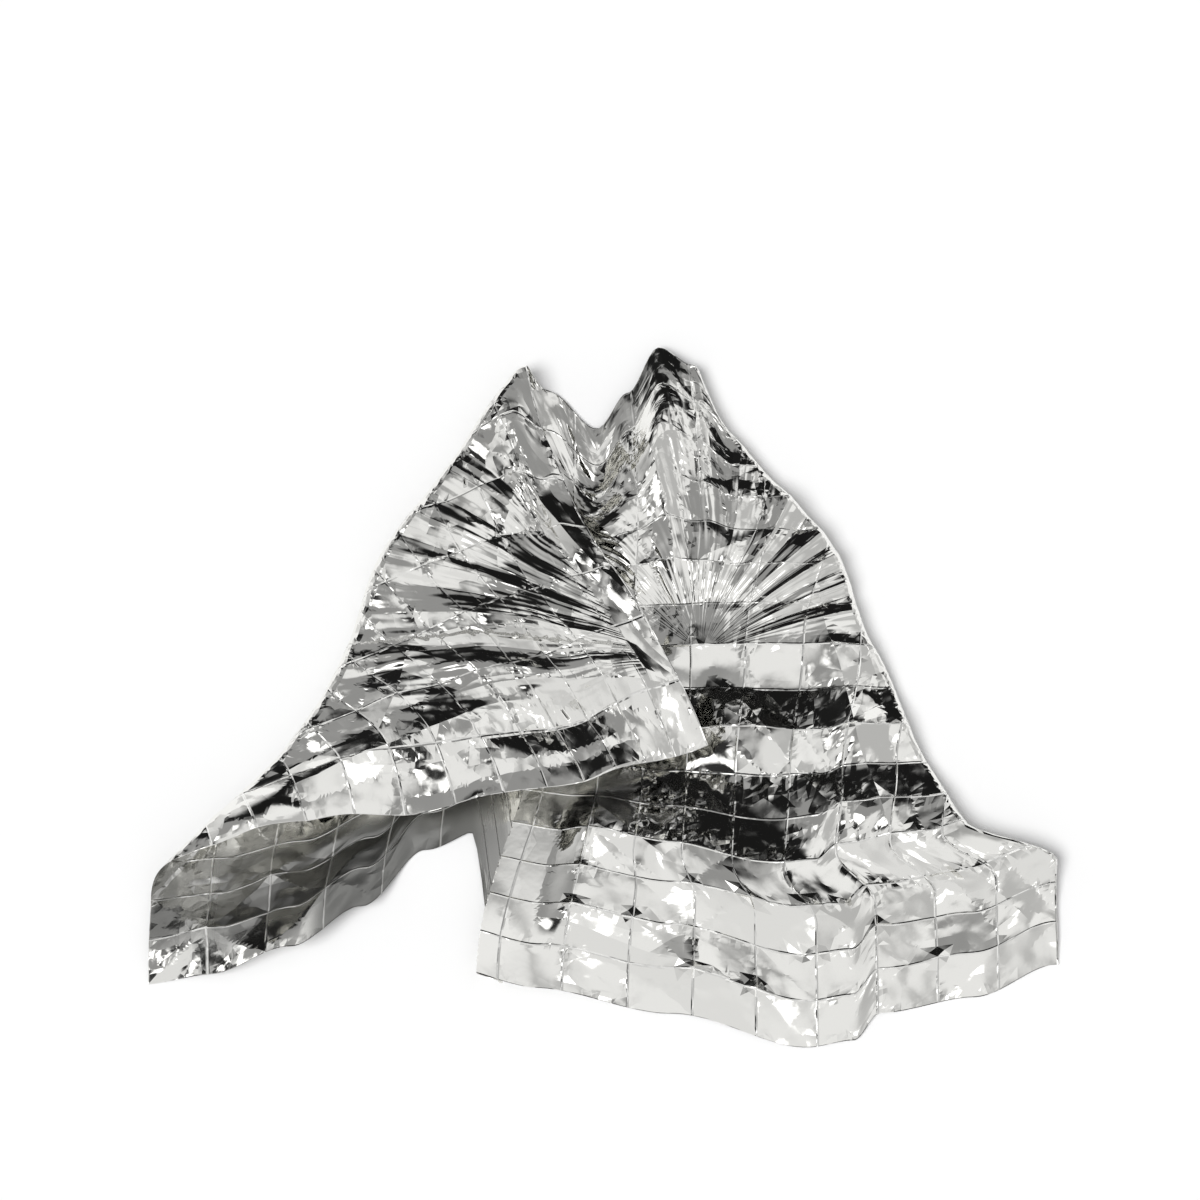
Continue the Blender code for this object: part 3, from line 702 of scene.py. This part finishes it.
def place(u, v, crumples):
    """Where the film lies, for points (u, v) of the flat sheet and the crumples there: x, y and z."""
    over_past = past_fold(u, v, OVER_TOP, OVER_NORMAL)
    under_past = past_fold(u, v, UNDER_TOP, UNDER_NORMAL)
    over_back, over_turned = roll(over_past, OVER_FOLD["radius"])
    under_back, under_turned = roll(under_past, UNDER_FOLD["radius"])
    pure_x = u + (over_back - over_past) * OVER_NORMAL[0] + (under_back - under_past) * UNDER_NORMAL[0]
    y = v + (over_back - over_past) * OVER_NORMAL[1] + (under_back - under_past) * UNDER_NORMAL[1]
    pleated_u, rise = pleated(u, y)
    x = pleated_u + pure_x - u
    right_part = u >= PLEAT_EDGE
    right_share = ease((u - TUCKED_FROM) / (PLEAT_INNER - PLEAT_BAND - TUCKED_FROM))
    over_share = ease((over_past - band_of(OVER_FOLD["radius"])) / OVER_SETTLES)
    out_x, out_y = plan(x, y, right_share, over_share)
    main_y = y + over_slip(x, y, right_share, over_share) / DRAWN_IN_UP

    facets = facet_height(u, v) + crumples
    beside_pleat = bell((u - (PLEAT_INNER + PLEAT_EDGE) / 2) / IN_PLEAT["half_width"])
    in_pleat = ease(pleat_share(y) / IN_PLEAT["full_at"]) * ease(IN_PLEAT["firmness"] * beside_pleat)
    flatter = 1 - (1 - IN_PLEAT_SHARE) * in_pleat
    hidden = ease((covered(x, y, right_share) - HIDDEN_FROM["inside"]) / HIDDEN_FROM["over"])
    below = MAIN_LIFT + carried(x, main_y) * 2 * UNDER_FOLD["radius"] + swell("main", out_x, out_y)
    main = np.maximum(below + main_height(x, y, facets, rise, right_part, flatter, hidden), 0.0)
    over = below + over_height(u, v, x, main_y, pure_x, y, facets)
    height = (main + (over - main) * over_turned) * (1 - under_turned)
    return out_x, out_y, FLOOR_GAP + height


def layer_at(u, v):
    """The layer that a point of the flat sheet is in."""
    if past_fold(u, v, OVER_TOP, OVER_NORMAL) > 0:
        return "over"
    if past_fold(u, v, UNDER_TOP, UNDER_NORMAL) > 0:
        return "under"
    return "main"


def near_crease(u, v):
    """How near points are to a packing crease: 1 on it, 0 from CREASE_HALF_WIDTH away."""
    across, up = in_cells(u, v)
    off_u = np.abs(across - np.round(across)) * CELL_WIDTH
    off_v = np.abs(up - np.round(up)) * CELL_HEIGHT
    return bell(np.minimum(off_u, off_v) / CREASE_HALF_WIDTH)


def in_crumpled(u, v):
    """How deep points are in a crumpled place, 0 to 1."""
    share = np.zeros_like(u)
    for at_u, at_v, half_width, _ in CRUMPLED:
        share = np.maximum(share, bell(np.hypot(u - at_u, v - at_v) / half_width))
    return share


def falling(u, v):
    """How much of a steeply falling row points are in, low on the right."""
    falls = -np.diff(LOW_RISES)
    across, up = in_cells(u, v)
    row = np.clip(up.astype(int), 0, len(falls) - 1)
    return np.clip(falls[row] / STEEP_FALL, 0.0, 1.0) * low_share(across, up)


def lean(u, v, fan_share):
    """How far the fine facets lean back: each place's own lean is full over its inner half."""
    total = STEEP_LEAN * falling(u, v) + FAN_LEAN * fan_share
    for at_u, at_v, half_width, half_height, most in LEANS:
        share = 2 * bell(np.hypot((u - at_u) / half_width, (v - at_v) / half_height))
        total += most * np.minimum(share, 1.0)
    return total


def dull_and_painted_shade(u, v):
    """How dull the film is, and how much painted shade darkens its colour, 0 to 1."""
    most = 0.0
    for at_u, at_v, half_u, half_v, soft, share in DULL_AND_PAINTED_SHADE:
        inside_u = ease((half_u + soft - np.abs(u - at_u)) / soft)
        inside_v = ease((half_v + soft - np.abs(v - at_v)) / soft)
        most = np.maximum(most, share * inside_u * inside_v)
    return most


def score(mesh, start, end, layer=None):
    """Cuts the flat sheet along a line, or one layer of it from start to end, to let it bend there."""
    run = end - start
    faces = []
    for face in mesh.faces:
        middle = face.calc_center_median().xy
        share = (middle - start).dot(run) / run.length_squared
        if layer is None or (0.0 <= share <= 1.0 and layer_at(*middle) == layer):
            faces.append(face)
    edges = {edge for face in faces for edge in face.edges}
    vertices = {vertex for face in faces for vertex in face.verts}
    edges = sorted(edges, key=lambda edge: edge.index)
    vertices = sorted(vertices, key=lambda vertex: vertex.index)
    bmesh.ops.bisect_plane(
        mesh,
        geom=faces + edges + vertices,
        dist=CUT_SNAPS,
        plane_co=(start.x, start.y, 0.0),
        plane_no=(run.y, -run.x, 0.0),
    )
    for sequence in (mesh.verts, mesh.edges, mesh.faces):
        sequence.index_update()


def on_sheet(layer, x, y):
    """The flat sheet's point that lies at (x, y) in a layer, before the outline is drawn in."""
    if layer == "over":
        x, y = mirrored(x, y, OVER_TOP, OVER_NORMAL)
    return Vector((x, y))


def flat_points(mesh):
    """The flat sheet's points as arrays u and v."""
    points = np.array([vertex.co.xy for vertex in mesh.verts])
    return points[:, 0], points[:, 1]


def fan_reach(u, v):
    """For points of the flat sheet, the turn round and the reach from the fan that they are in, and how
    much of its fine pleats there is."""
    over = past_fold(u, v, OVER_TOP, OVER_NORMAL) > 0
    over_x, over_y = mirrored(u, v, OVER_TOP, OVER_NORMAL)
    x = np.where(over, over_x - FAN_AT["over"][0], u - FAN_AT["main"][0])
    y = np.where(over, over_y - FAN_AT["over"][1], v - FAN_AT["main"][1])
    reach = np.hypot(x, y)
    turn = np.arctan2(y, x)
    degrees = np.degrees(turn) % 360
    low = np.where(over, FINE_FAN["over"][0], FINE_FAN["main"][0])
    high = np.where(over, FINE_FAN["over"][1], FINE_FAN["main"][1])
    share = ease((degrees - low) / FINE_FAN["soft"]) * ease((high - degrees) / FINE_FAN["soft"])
    share *= ease(reach / FINE_FAN["full"]) * (1 - ease((reach - FINE_FAN["fades"]) / FINE_FAN["fades"]))
    lapel_strip = over & (SHEET_HEIGHT - v < LAPEL_STRIP)
    return turn, reach, np.where(lapel_strip, 0.0, share)


def waves(rows, u, v):
    """A table's waves added up, for points of the flat sheet."""
    total = np.zeros_like(u)
    for per_u, per_v, start, share in rows:
        total += share * np.sin(2 * math.pi * (per_u * u + per_v * v) + start)
    return total


def crumple(mesh, height, kind):
    """Moves the flat sheet's points up or down by chance, most of all near its creases."""
    u, v = flat_points(mesh)
    patch = ease(0.5 + waves(PATCHES, u, v))
    share = QUIET_SHARE + (1 - QUIET_SHARE) * near_crease(u, v) * patch + CRUMPLED_SHARE * in_crumpled(u, v)
    steps_across, steps_up = np.round(u * CHANCE_STEPS["across"]), np.round(v * CHANCE_STEPS["up"])
    rises = height * share * chance(steps_across, steps_up, kind)
    for vertex, rise in zip(mesh.verts, rises):
        vertex.co.z += rise


def stray(mesh):
    """Moves the corners of the small facets sideways by chance, and those on a crease only a little."""
    u, v = flat_points(mesh)
    facet_width = CELL_WIDTH / FACETS_IN_CELL
    facet_height_up = CELL_HEIGHT / FACETS_IN_CELL
    column = np.round((u + HALF_WIDTH) / facet_width)
    row = np.round(v / facet_height_up)
    on_column = column % FACETS_IN_CELL == 0
    on_row = row % FACETS_IN_CELL == 0
    across = FACET_STRAYS * facet_width * chance(column, row, KIND["facet across"])
    up = FACET_STRAYS * facet_height_up * chance(column, row, KIND["facet up"])
    across = np.where(on_column, CREASE_STRAYS * chance(column, row, KIND["crease across"]), across)
    up = np.where(on_row, CREASE_STRAYS * chance(column, row, KIND["crease up"]), up)
    across = np.where(np.abs(u) > HALF_WIDTH - facet_width / 2, 0.0, across)
    up = np.where((v < facet_height_up / 2) | (v > SHEET_HEIGHT - facet_height_up / 2), 0.0, up)
    for vertex, move_u, move_v in zip(mesh.verts, across, up):
        vertex.co.x += move_u
        vertex.co.y += move_v


def raise_tents(mesh):
    """Lifts the crossings that stand up as sharp small tents."""
    rises = {(column, row): rise for column, row, rise in TENT_PEAKS}
    for vertex in mesh.verts:
        column, row = in_cells(vertex.co.x, vertex.co.y)
        if abs(column - round(column)) + abs(row - round(row)) < ON_CROSSING:
            vertex.co.z += rises.get((round(column), round(row)), 0.0)


def score_folds(mesh):
    """Cuts the flat sheet along its diagonal folds, its knife pleat, its fans' pleats and its main
    folds."""
    for fold in (OVER_FOLD, UNDER_FOLD):
        top, normal = fold_line(fold)
        for step in np.linspace(-1.0, 1.0, fold["cuts"]):
            start = Vector(top + normal * (band_of(fold["radius"]) * step))
            score(mesh, start, start + Vector((normal[1], -normal[0])))
    for at_u in (PLEAT_INNER + PLEAT_BAND, PLEAT_EDGE + PLEAT_BAND):
        score(mesh, Vector((at_u, -CELL_HEIGHT)), Vector((at_u, PLEAT["gone_at"])), "main")
    for layer, folds in FAN_FOLDS.items():
        x, y = FAN_AT[layer]
        for degrees in folds["degrees"][1:-1]:
            run_x, run_y = math.cos(math.radians(degrees)), math.sin(math.radians(degrees))
            start = on_sheet(layer, x + run_x * FAN["near"], y + run_y * FAN["near"])
            end = on_sheet(layer, x + run_x * FAN["far"], y + run_y * FAN["far"])
            score(mesh, start, end, layer)
    for layer, folds in FOLDS.items():
        for x0, y0, x1, y1, *_ in folds:
            score(mesh, on_sheet(layer, x0, y0), on_sheet(layer, x1, y1), layer)


def flat_sheet(settings):
    """The crumpled flat sheet: small facets, cut along every fold, with finer ones inside them."""
    mesh = bmesh.new()
    bmesh.ops.create_grid(
        mesh,
        x_segments=CELLS_ACROSS * FACETS_IN_CELL,
        y_segments=CELLS_UP * FACETS_IN_CELL,
        size=0.5,
    )
    bmesh.ops.scale(mesh, vec=(SHEET_WIDTH, SHEET_HEIGHT, 1.0), verts=mesh.verts)
    bmesh.ops.translate(mesh, vec=(0.0, SHEET_HEIGHT / 2, 0.0), verts=mesh.verts)
    raise_tents(mesh)
    stray(mesh)
    bmesh.ops.poke(mesh, faces=mesh.faces)
    score_folds(mesh)
    bmesh.ops.triangulate(mesh, faces=mesh.faces)
    crumple(mesh, settings.crumple_height, KIND["crumple"])
    bmesh.ops.subdivide_edges(mesh, edges=mesh.edges, cuts=1, use_grid_fill=True)
    crumple(mesh, settings.crinkle_height, KIND["crinkle"])
    long = [edge for edge in mesh.edges if edge.calc_length() > LONGEST_EDGE]
    bmesh.ops.subdivide_edges(mesh, edges=long, cuts=1, use_grid_fill=True)
    bmesh.ops.triangulate(mesh, faces=mesh.faces)
    return mesh


def lay_out(data, settings):
    """Lays the flat sheet out in its folds, and keeps its flat places as UVs and what its finish needs as
    attributes."""
    count = len(data.vertices)
    points = np.empty(count * 3)
    data.vertices.foreach_get("co", points)
    u, v, crumples = points.reshape(count, 3).T
    calm = 1 - LOW_CALM * low_share(*in_cells(u, v))
    crumples = crumples + settings.ripple_height * calm * waves(RIPPLES, u, v)
    x, y, z = place(u, v, crumples)
    x -= (x.min() + x.max()) / 2
    y -= (y.min() + y.max()) / 2
    data.vertices.foreach_set("co", np.stack((x, y, z), axis=1).ravel())

    corners = np.empty(len(data.loops), dtype=np.int32)
    data.loops.foreach_get("vertex_index", corners)
    flat = np.stack((u / SHEET_WIDTH + 0.5, v / SHEET_HEIGHT), axis=1)
    layer = data.uv_layers.new(name="flat_sheet")
    layer.uv.foreach_set("vector", flat[corners].ravel())
    turn, reach, share = fan_reach(u, v)
    kept = {
        "crumpled": in_crumpled(u, v),
        "falling": falling(u, v),
        "lean": lean(u, v, share),
        # How dull the film is, which also darkens its colour to grey as painted shade.
        "dull_and_painted_shade": dull_and_painted_shade(u, v),
        "turn": turn,
        "reach": reach,
        "fan": share,
    }
    for name, values in kept.items():
        data.attributes.new(name, "FLOAT", "POINT").data.foreach_set("value", values)
    data.update()


def add_node(tree, kind, inputs=(), **settings):
    """A new node with its settings, and its inputs set to values or linked to other nodes' sockets."""
    node = tree.nodes.new(kind)
    for name, value in settings.items():
        setattr(node, name, value)
    for name, value in dict(inputs).items():
        if isinstance(value, bpy.types.NodeSocket):
            tree.links.new(value, node.inputs[name])
        else:
            node.inputs[name].default_value = value
    return node


def vector_math(tree, operation, first, second):
    """The outcome of a vector sum, where second is a vector or, for SCALE, a number."""
    name = "Scale" if operation == "SCALE" else 1
    return add_node(tree, "ShaderNodeVectorMath", {0: first, name: second}, operation=operation).outputs[0]


def map_range(tree, value, low, high, from_low=0.0, from_high=1.0, **settings):
    """A value between from_low and from_high taken to the range from low to high."""
    inputs = {"Value": value, "From Min": from_low, "From Max": from_high, "To Min": low, "To Max": high}
    return add_node(tree, "ShaderNodeMapRange", inputs, **settings).outputs["Result"]


def math_node(tree, operation, *values):
    """The outcome of a sum of one to three numbers."""
    return add_node(tree, "ShaderNodeMath", dict(enumerate(values)), operation=operation).outputs[0]


def noise(tree, vector, scale, detail=2.0):
    """A cloudy texture, with so many clouds in a unit."""
    return add_node(tree, "ShaderNodeTexNoise", {"Vector": vector, "Scale": scale, "Detail": detail})


def attribute(tree, name):
    """An attribute of the sheet."""
    return add_node(tree, "ShaderNodeAttribute", attribute_name=name).outputs["Fac"]


def ridge(tree, off, half_width):
    """1 where a distance is 0, down to 0 where it is half_width or more."""
    return map_range(tree, off, 1.0, 0.0, 0.0, half_width)


def clouds(tree, flat, name, low=0.0, high=1.0):
    """One of the finish's cloudy patterns, from low to high."""
    per_metre, none_at, all_at = CLOUDS[name]
    return map_range(tree, noise(tree, flat, per_metre).outputs["Fac"], low, high, none_at, all_at)


def bent(tree, flat, bends):
    """The flat sheet's places, moved a little to and fro."""
    per_metre, most = bends
    move = vector_math(tree, "MULTIPLY", noise(tree, flat, per_metre).outputs["Color"], (most, most, 0.0))
    return vector_math(tree, "ADD", flat, move)


def off_creases(tree, flat):
    """How far the film is from its nearest packing crease, on lines that stray a little."""
    parts = add_node(tree, "ShaderNodeSeparateXYZ", {0: bent(tree, flat, CREASE_BENDS)})
    across = math_node(tree, "PINGPONG", parts.outputs["X"], CELL_WIDTH / 2)
    up = math_node(tree, "PINGPONG", parts.outputs["Y"], CELL_HEIGHT / 2)
    return math_node(tree, "MINIMUM", across, up)


def crumpled_share(tree):
    """How much of the finest crumples the crumpled places have."""
    return math_node(tree, "MULTIPLY", attribute(tree, "crumpled"), CRUMPLED_SHARE)


def tilted_share(tree, flat, off):
    """How much the finest facets are tilted, 0 to 1: in patches beside the creases, and where crumpled."""
    beside = math_node(tree, "MULTIPLY", ridge(tree, off, TILTED_WITHIN), clouds(tree, flat, "facets"))
    return math_node(tree, "MAXIMUM", beside, crumpled_share(tree))


def jagged_share(tree, flat, off):
    """How jagged the film is, 0 to 1: in patches beside the creases, where crumpled and on steep rows."""
    share = math_node(tree, "MULTIPLY", clouds(tree, flat, "crinkles"), ridge(tree, off, JAGGED_WITHIN))
    share = math_node(tree, "MAXIMUM", share, crumpled_share(tree))
    steep = math_node(tree, "MULTIPLY", clouds(tree, flat, "steep rows"), attribute(tree, "falling"))
    share = math_node(tree, "MAXIMUM", share, steep)
    return math_node(tree, "MULTIPLY", share, math_node(tree, "SUBTRACT", 1.0, attribute(tree, "dull_and_painted_shade")))


def turned_by_facets(tree, normal, place, scale, tilt):
    """A normal that each facet turns its own way, with so many facets in a unit."""
    cells = add_node(tree, "ShaderNodeTexVoronoi", {"Vector": place, "Scale": scale})
    away = vector_math(tree, "SUBTRACT", cells.outputs["Color"], (0.5, 0.5, 0.5))
    return vector_math(tree, "ADD", normal, vector_math(tree, "SCALE", away, tilt))


def shine_normal(tree, flat, off, settings):
    """The film's normal as its finest facets, its lean and its jagged crinkles turn it."""
    spot = bent(tree, flat, FACET_BENDS)
    tilted = tilted_share(tree, flat, off)
    normal = add_node(tree, "ShaderNodeNewGeometry").outputs["Normal"]
    for per_metre, near, elsewhere, more in FINE_FACETS:
        tilt = map_range(tree, tilted, settings.facet_tilt * elsewhere, settings.facet_tilt * near)
        extra = settings.facet_tilt * more
        tilt = math_node(tree, "MULTIPLY_ADD", attribute(tree, "crumpled"), extra, tilt)
        normal = turned_by_facets(tree, normal, spot, per_metre, tilt)
    back = add_node(tree, "ShaderNodeCombineXYZ", {"Y": attribute(tree, "lean")})
    normal = vector_math(tree, "ADD", normal, back.outputs[0])
    jagged = jagged_share(tree, flat, off)
    for degrees, per_metre_along, per_metre_across, most in STROKES:
        slanted = add_node(tree, "ShaderNodeMapping", {"Vector": spot}, vector_type="TEXTURE")
        slanted.inputs["Rotation"].default_value[2] = math.radians(degrees)
        slanted.inputs["Scale"].default_value = (1 / per_metre_along, 1 / per_metre_across, 1.0)
        tilt = math_node(tree, "MULTIPLY", jagged, most)
        normal = turned_by_facets(tree, normal, slanted.outputs[0], 1.0, tilt)
    return vector_math(tree, "NORMALIZE", normal, (0.0, 0.0, 0.0))


def fan_pleats(tree):
    """The height of the fans' fine pleats as a share: streaks that run out from each fan's middle."""
    spread = math_node(tree, "MULTIPLY", attribute(tree, "turn"), FINE_PLEAT["per_radian"])
    out = math_node(tree, "MULTIPLY", attribute(tree, "reach"), FINE_PLEAT["per_metre"])
    at = add_node(tree, "ShaderNodeCombineXYZ", {"X": spread, "Y": out}).outputs[0]
    streaks = math_node(tree, "MULTIPLY", noise(tree, at, 1.0, 1.0).outputs["Fac"], FINE_PLEAT["folds"])
    height = math_node(tree, "MULTIPLY", math_node(tree, "PINGPONG", streaks, 1.0), attribute(tree, "fan"))
    return math_node(tree, "MULTIPLY", height, attribute(tree, "reach"))


def raised_normal(tree, flat, line, normal):
    """A normal with the worn lines, the fans' fine pleats and the finest ripples raised on it."""
    uneven = clouds(tree, flat, "worn lines", WORN_LINE["low"], WORN_LINE["high"])
    height = math_node(tree, "MULTIPLY", line, uneven)
    height = math_node(tree, "MULTIPLY_ADD", fan_pleats(tree), FINE_PLEAT["height"], height)
    ripples = noise(tree, flat, FINE_RIPPLE["per_metre"]).outputs["Fac"]
    height = math_node(tree, "MULTIPLY_ADD", ripples, FINE_RIPPLE["height"], height)
    bump = add_node(tree, "ShaderNodeBump", {"Height": height, "Normal": normal})
    bump.inputs["Strength"].default_value = 1.0
    bump.inputs["Distance"].default_value = 1.0
    return bump.outputs["Normal"]


def film_color(tree, line, settings):
    """The film's colour: pale on its worn lines, and darkened to grey between them by painted shade where
    it is dull.
    """
    colors = {"A": (*settings.foil_color, 1.0), "B": (*settings.worn_color, 1.0), "Factor": line}
    worn = add_node(tree, "ShaderNodeMix", colors, data_type="RGBA").outputs["Result"]
    # Painted shade: the dull places are darkened to grey, except on the worn lines.
    share = math_node(tree, "MULTIPLY", attribute(tree, "dull_and_painted_shade"), math_node(tree, "SUBTRACT", 1.0, line))
    colors = {"A": worn, "B": (*settings.painted_shade_color, 1.0), "Factor": share}
    return add_node(tree, "ShaderNodeMix", colors, data_type="RGBA").outputs["Result"]


def new_material(name):
    """A new material with its node tree and its shader's inputs."""
    material = bpy.data.materials.new(name)
    material.use_nodes = True
    return material, material.node_tree, material.node_tree.nodes["Principled BSDF"].inputs


def foil_material(settings):
    """Mirror-bright metallised film, finely crinkled, with pale worn lines along its creases."""
    material, tree, shader = new_material("silver_foil")
    shader["Metallic"].default_value = 1.0
    whole = add_node(tree, "ShaderNodeUVMap", uv_map="flat_sheet").outputs["UV"]
    flat = vector_math(tree, "MULTIPLY", whole, (SHEET_WIDTH, SHEET_HEIGHT, 1.0))
    off = off_creases(tree, flat)
    left = map_range(tree, attribute(tree, "fan"), 1.0, WORN_LINE["in_fans"])
    line = math_node(tree, "MULTIPLY", ridge(tree, off, WORN_LINE["half_width"]), left)
    rough = map_range(tree, line, settings.roughness, WORN_LINE["roughness"])
    rough = math_node(tree, "MULTIPLY_ADD", attribute(tree, "dull_and_painted_shade"), DULL_ROUGHNESS, rough)
    normal = raised_normal(tree, flat, line, shine_normal(tree, flat, off, settings))
    tree.links.new(film_color(tree, line, settings), shader["Base Color"])
    tree.links.new(rough, shader["Roughness"])
    tree.links.new(normal, shader["Normal"])
    return material


def floor_material(settings):
    """A matt pale floor."""
    material, _, shader = new_material("floor")
    shader["Base Color"].default_value = (*settings.floor_color, 1.0)
    shader["Roughness"].default_value = FLOOR["roughness"]
    shader["Specular IOR Level"].default_value = FLOOR["shine"]
    return material


def surroundings(settings):
    """The soft studio round the blanket: a gradient by height with bright and dark panels in it."""
    world = bpy.data.worlds.new("studio")
    world.use_nodes = True
    tree = world.node_tree
    background = tree.nodes["Background"]
    direction = add_node(tree, "ShaderNodeTexCoord").outputs["Generated"]
    height = add_node(tree, "ShaderNodeSeparateXYZ", {0: direction}).outputs["Z"]
    ramp = add_node(tree, "ShaderNodeValToRGB", {"Fac": height})
    stops = ramp.color_ramp.elements
    for stop, (height, level) in zip((stops[0], stops[1]), (SKY[0], SKY[-1])):
        stop.position = height
        stop.color = (level, level, level, 1.0)
    for height, level in SKY[1:-1]:
        stops.new(height).color = (level, level, level, 1.0)

    color = ramp.outputs["Color"]
    for turn, up, half_width, soft, level in PANELS:
        turn, up = math.radians(turn), math.radians(up)
        aim = (math.sin(turn) * math.cos(up), math.cos(turn) * math.cos(up), math.sin(up))
        near = add_node(tree, "ShaderNodeVectorMath", {0: direction, 1: aim}, operation="DOT_PRODUCT")
        none_at, all_at = math.cos(math.radians(half_width + soft)), math.cos(math.radians(half_width))
        near = near.outputs["Value"]
        share = map_range(tree, near, 0.0, 1.0, none_at, all_at, interpolation_type="SMOOTHSTEP")
        colors = {"Factor": share, "A": color, "B": (level, level, level, 1.0)}
        color = add_node(tree, "ShaderNodeMix", colors, data_type="RGBA").outputs["Result"]
    tree.links.new(color, background.inputs["Color"])
    background.inputs["Strength"].default_value = settings.sky_strength
    return world


def finished_mesh(mesh, name):
    """A bmesh made a mesh of the file."""
    data = bpy.data.meshes.new(name)
    mesh.to_mesh(data)
    mesh.free()
    return data


def add_object(collection, name, data):
    """A new object in a collection."""
    item = bpy.data.objects.new(name, data)
    collection.objects.link(item)
    return item


def add_floor(scene, settings):
    """Adds the floor that the blanket lies on."""
    mesh = bmesh.new()
    bmesh.ops.create_grid(mesh, x_segments=1, y_segments=1, size=FLOOR["half_width"])
    data = finished_mesh(mesh, "floor")
    data.materials.append(floor_material(settings))
    add_object(scene.collection, "floor", data)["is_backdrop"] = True


def add_key_light(scene, settings):
    """Adds the soft light from above, which the film doesn't mirror."""
    lamp = bpy.data.lights.new("key_light", "SUN")
    lamp.energy = settings.key_strength
    lamp.angle = KEY_LIGHT["width"]
    key = add_object(scene.collection, "key_light", lamp)
    key.rotation_euler = KEY_LIGHT["turn"]
    key.visible_glossy = False


def add_camera(scene):
    """Adds the camera, which shows the blanket at its size and place in the picture."""
    low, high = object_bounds()
    middle = (Vector(low) + Vector(high)) / 2
    pixel = (high[0] - low[0]) / BLANKET_PIXELS
    up = Vector((0.0, math.sin(CAMERA_ELEVATION), math.cos(CAMERA_ELEVATION)))
    back = Vector((0.0, -math.cos(CAMERA_ELEVATION), math.sin(CAMERA_ELEVATION)))
    target = middle + up * (PICTURE_MIDDLE[1] - PICTURE_SIZE / 2) * pixel
    target.x -= (PICTURE_MIDDLE[0] - PICTURE_SIZE / 2) * pixel
    data = bpy.data.cameras.new("camera")
    data.lens = CAMERA_LENS
    data.sensor_width = CAMERA_SENSOR
    data.clip_end = CAMERA_SEES_TO
    camera = add_object(scene.collection, "camera", data)
    camera.location = target + back * (PICTURE_SIZE * pixel * CAMERA_LENS / CAMERA_SENSOR)
    camera.rotation_euler = back.to_track_quat("Z", "Y").to_euler()
    scene.camera = camera


class FoilBlanketSettings(bpy.types.PropertyGroup):
    """The sizes and colours that a user would change."""

    crumple_height: FloatProperty(
        name="Crumple Height",
        description="How far the corners of the small facets stand out of the film",
        default=0.0018,
        unit="LENGTH",
    )
    crinkle_height: FloatProperty(
        name="Crinkle Height",
        description="How far the corners of the finest facets stand out of the film",
        default=0.0003,
        unit="LENGTH",
    )
    ripple_height: FloatProperty(
        name="Ripple Height",
        description="How high the soft ripples between the creases are",
        default=0.0010,
        unit="LENGTH",
    )
    facet_tilt: FloatProperty(
        name="Facet Tilt",
        description="How much the smallest facets turn the film's shine near its creases",
        default=0.07,
    )
    roughness: FloatProperty(
        name="Roughness",
        description="Roughness of the smooth film",
        default=0.07,
        subtype="FACTOR",
    )
    foil_color: FloatVectorProperty(
        name="Foil Color",
        description="Color of the metallised film",
        default=(0.91, 0.905, 0.875),
        subtype="COLOR",
    )
    worn_color: FloatVectorProperty(
        name="Worn Color",
        description="Color of the film where it is creased",
        default=(0.94, 0.937, 0.915),
        subtype="COLOR",
    )
    # The grey of the painted shade, low on the left and beneath the over layer's lower edge.
    painted_shade_color: FloatVectorProperty(
        name="Dull Color",
        description="Color of the film where it is dull",
        default=(0.29, 0.29, 0.28),
        subtype="COLOR",
    )
    floor_color: FloatVectorProperty(
        name="Floor Color",
        description="Color of the floor",
        default=(0.86, 0.86, 0.86),
        subtype="COLOR",
    )
    sky_strength: FloatProperty(
        name="Studio Light",
        description="Strength of the soft light from all round",
        default=1.0,
    )
    key_strength: FloatProperty(
        name="Key Light",
        description="Strength of the soft light from above",
        default=2.35,
    )


class FOILBLANKET_OT_sheet(bpy.types.Operator):
    """Makes the sheet of film and lays it out in its folds"""

    bl_idname = "foil_blanket.sheet"
    bl_label = "Foil Sheet"

    def execute(self, context):
        settings = context.scene.foil_blanket
        data = finished_mesh(flat_sheet(settings), "foil_blanket_sheet")
        lay_out(data, settings)
        data.shade_smooth()
        data.set_sharp_from_angle(angle=SHARP_FROM)
        data.materials.append(foil_material(settings))
        sheet = add_object(context.collection, "foil_blanket_sheet", data)
        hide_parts("foil_sheet")
        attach(sheet, "root")
        return {"FINISHED"}


class FOILBLANKET_OT_stage(bpy.types.Operator):
    """Adds the floor, the soft light and the camera"""

    bl_idname = "foil_blanket.stage"
    bl_label = "Floor, Light and Camera"

    def execute(self, context):
        scene = context.scene
        settings = scene.foil_blanket
        scene.world = surroundings(settings)
        add_floor(scene, settings)
        add_key_light(scene, settings)
        add_camera(scene)
        scene.view_settings.view_transform = "Standard"
        return {"FINISHED"}


class FOILBLANKET_PT_panel(bpy.types.Panel):
    """Lists the blanket's sizes, colours and pieces"""

    bl_label = "Foil Blanket"
    bl_idname = "FOILBLANKET_PT_panel"
    bl_space_type = "VIEW_3D"
    bl_region_type = "UI"
    bl_category = "Foil Blanket"

    def draw(self, context):
        settings = context.scene.foil_blanket
        for name in FoilBlanketSettings.__annotations__:
            self.layout.prop(settings, name)
        self.layout.operator("foil_blanket.sheet")
        self.layout.operator("foil_blanket.stage")


CLASSES = (FoilBlanketSettings, FOILBLANKET_OT_sheet, FOILBLANKET_OT_stage, FOILBLANKET_PT_panel)


def register():
    """Registers the classes and the scene's settings."""
    for item in CLASSES:
        bpy.utils.register_class(item)
    bpy.types.Scene.foil_blanket = PointerProperty(type=FoilBlanketSettings)


def unregister():
    """Removes the scene's settings and the classes."""
    del bpy.types.Scene.foil_blanket
    for item in reversed(CLASSES):
        bpy.utils.unregister_class(item)


def main():
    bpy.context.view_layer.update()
    register()
    bpy.ops.foil_blanket.sheet()
    bpy.ops.foil_blanket.stage()
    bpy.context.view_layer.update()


if __name__ == "__main__":
    main()
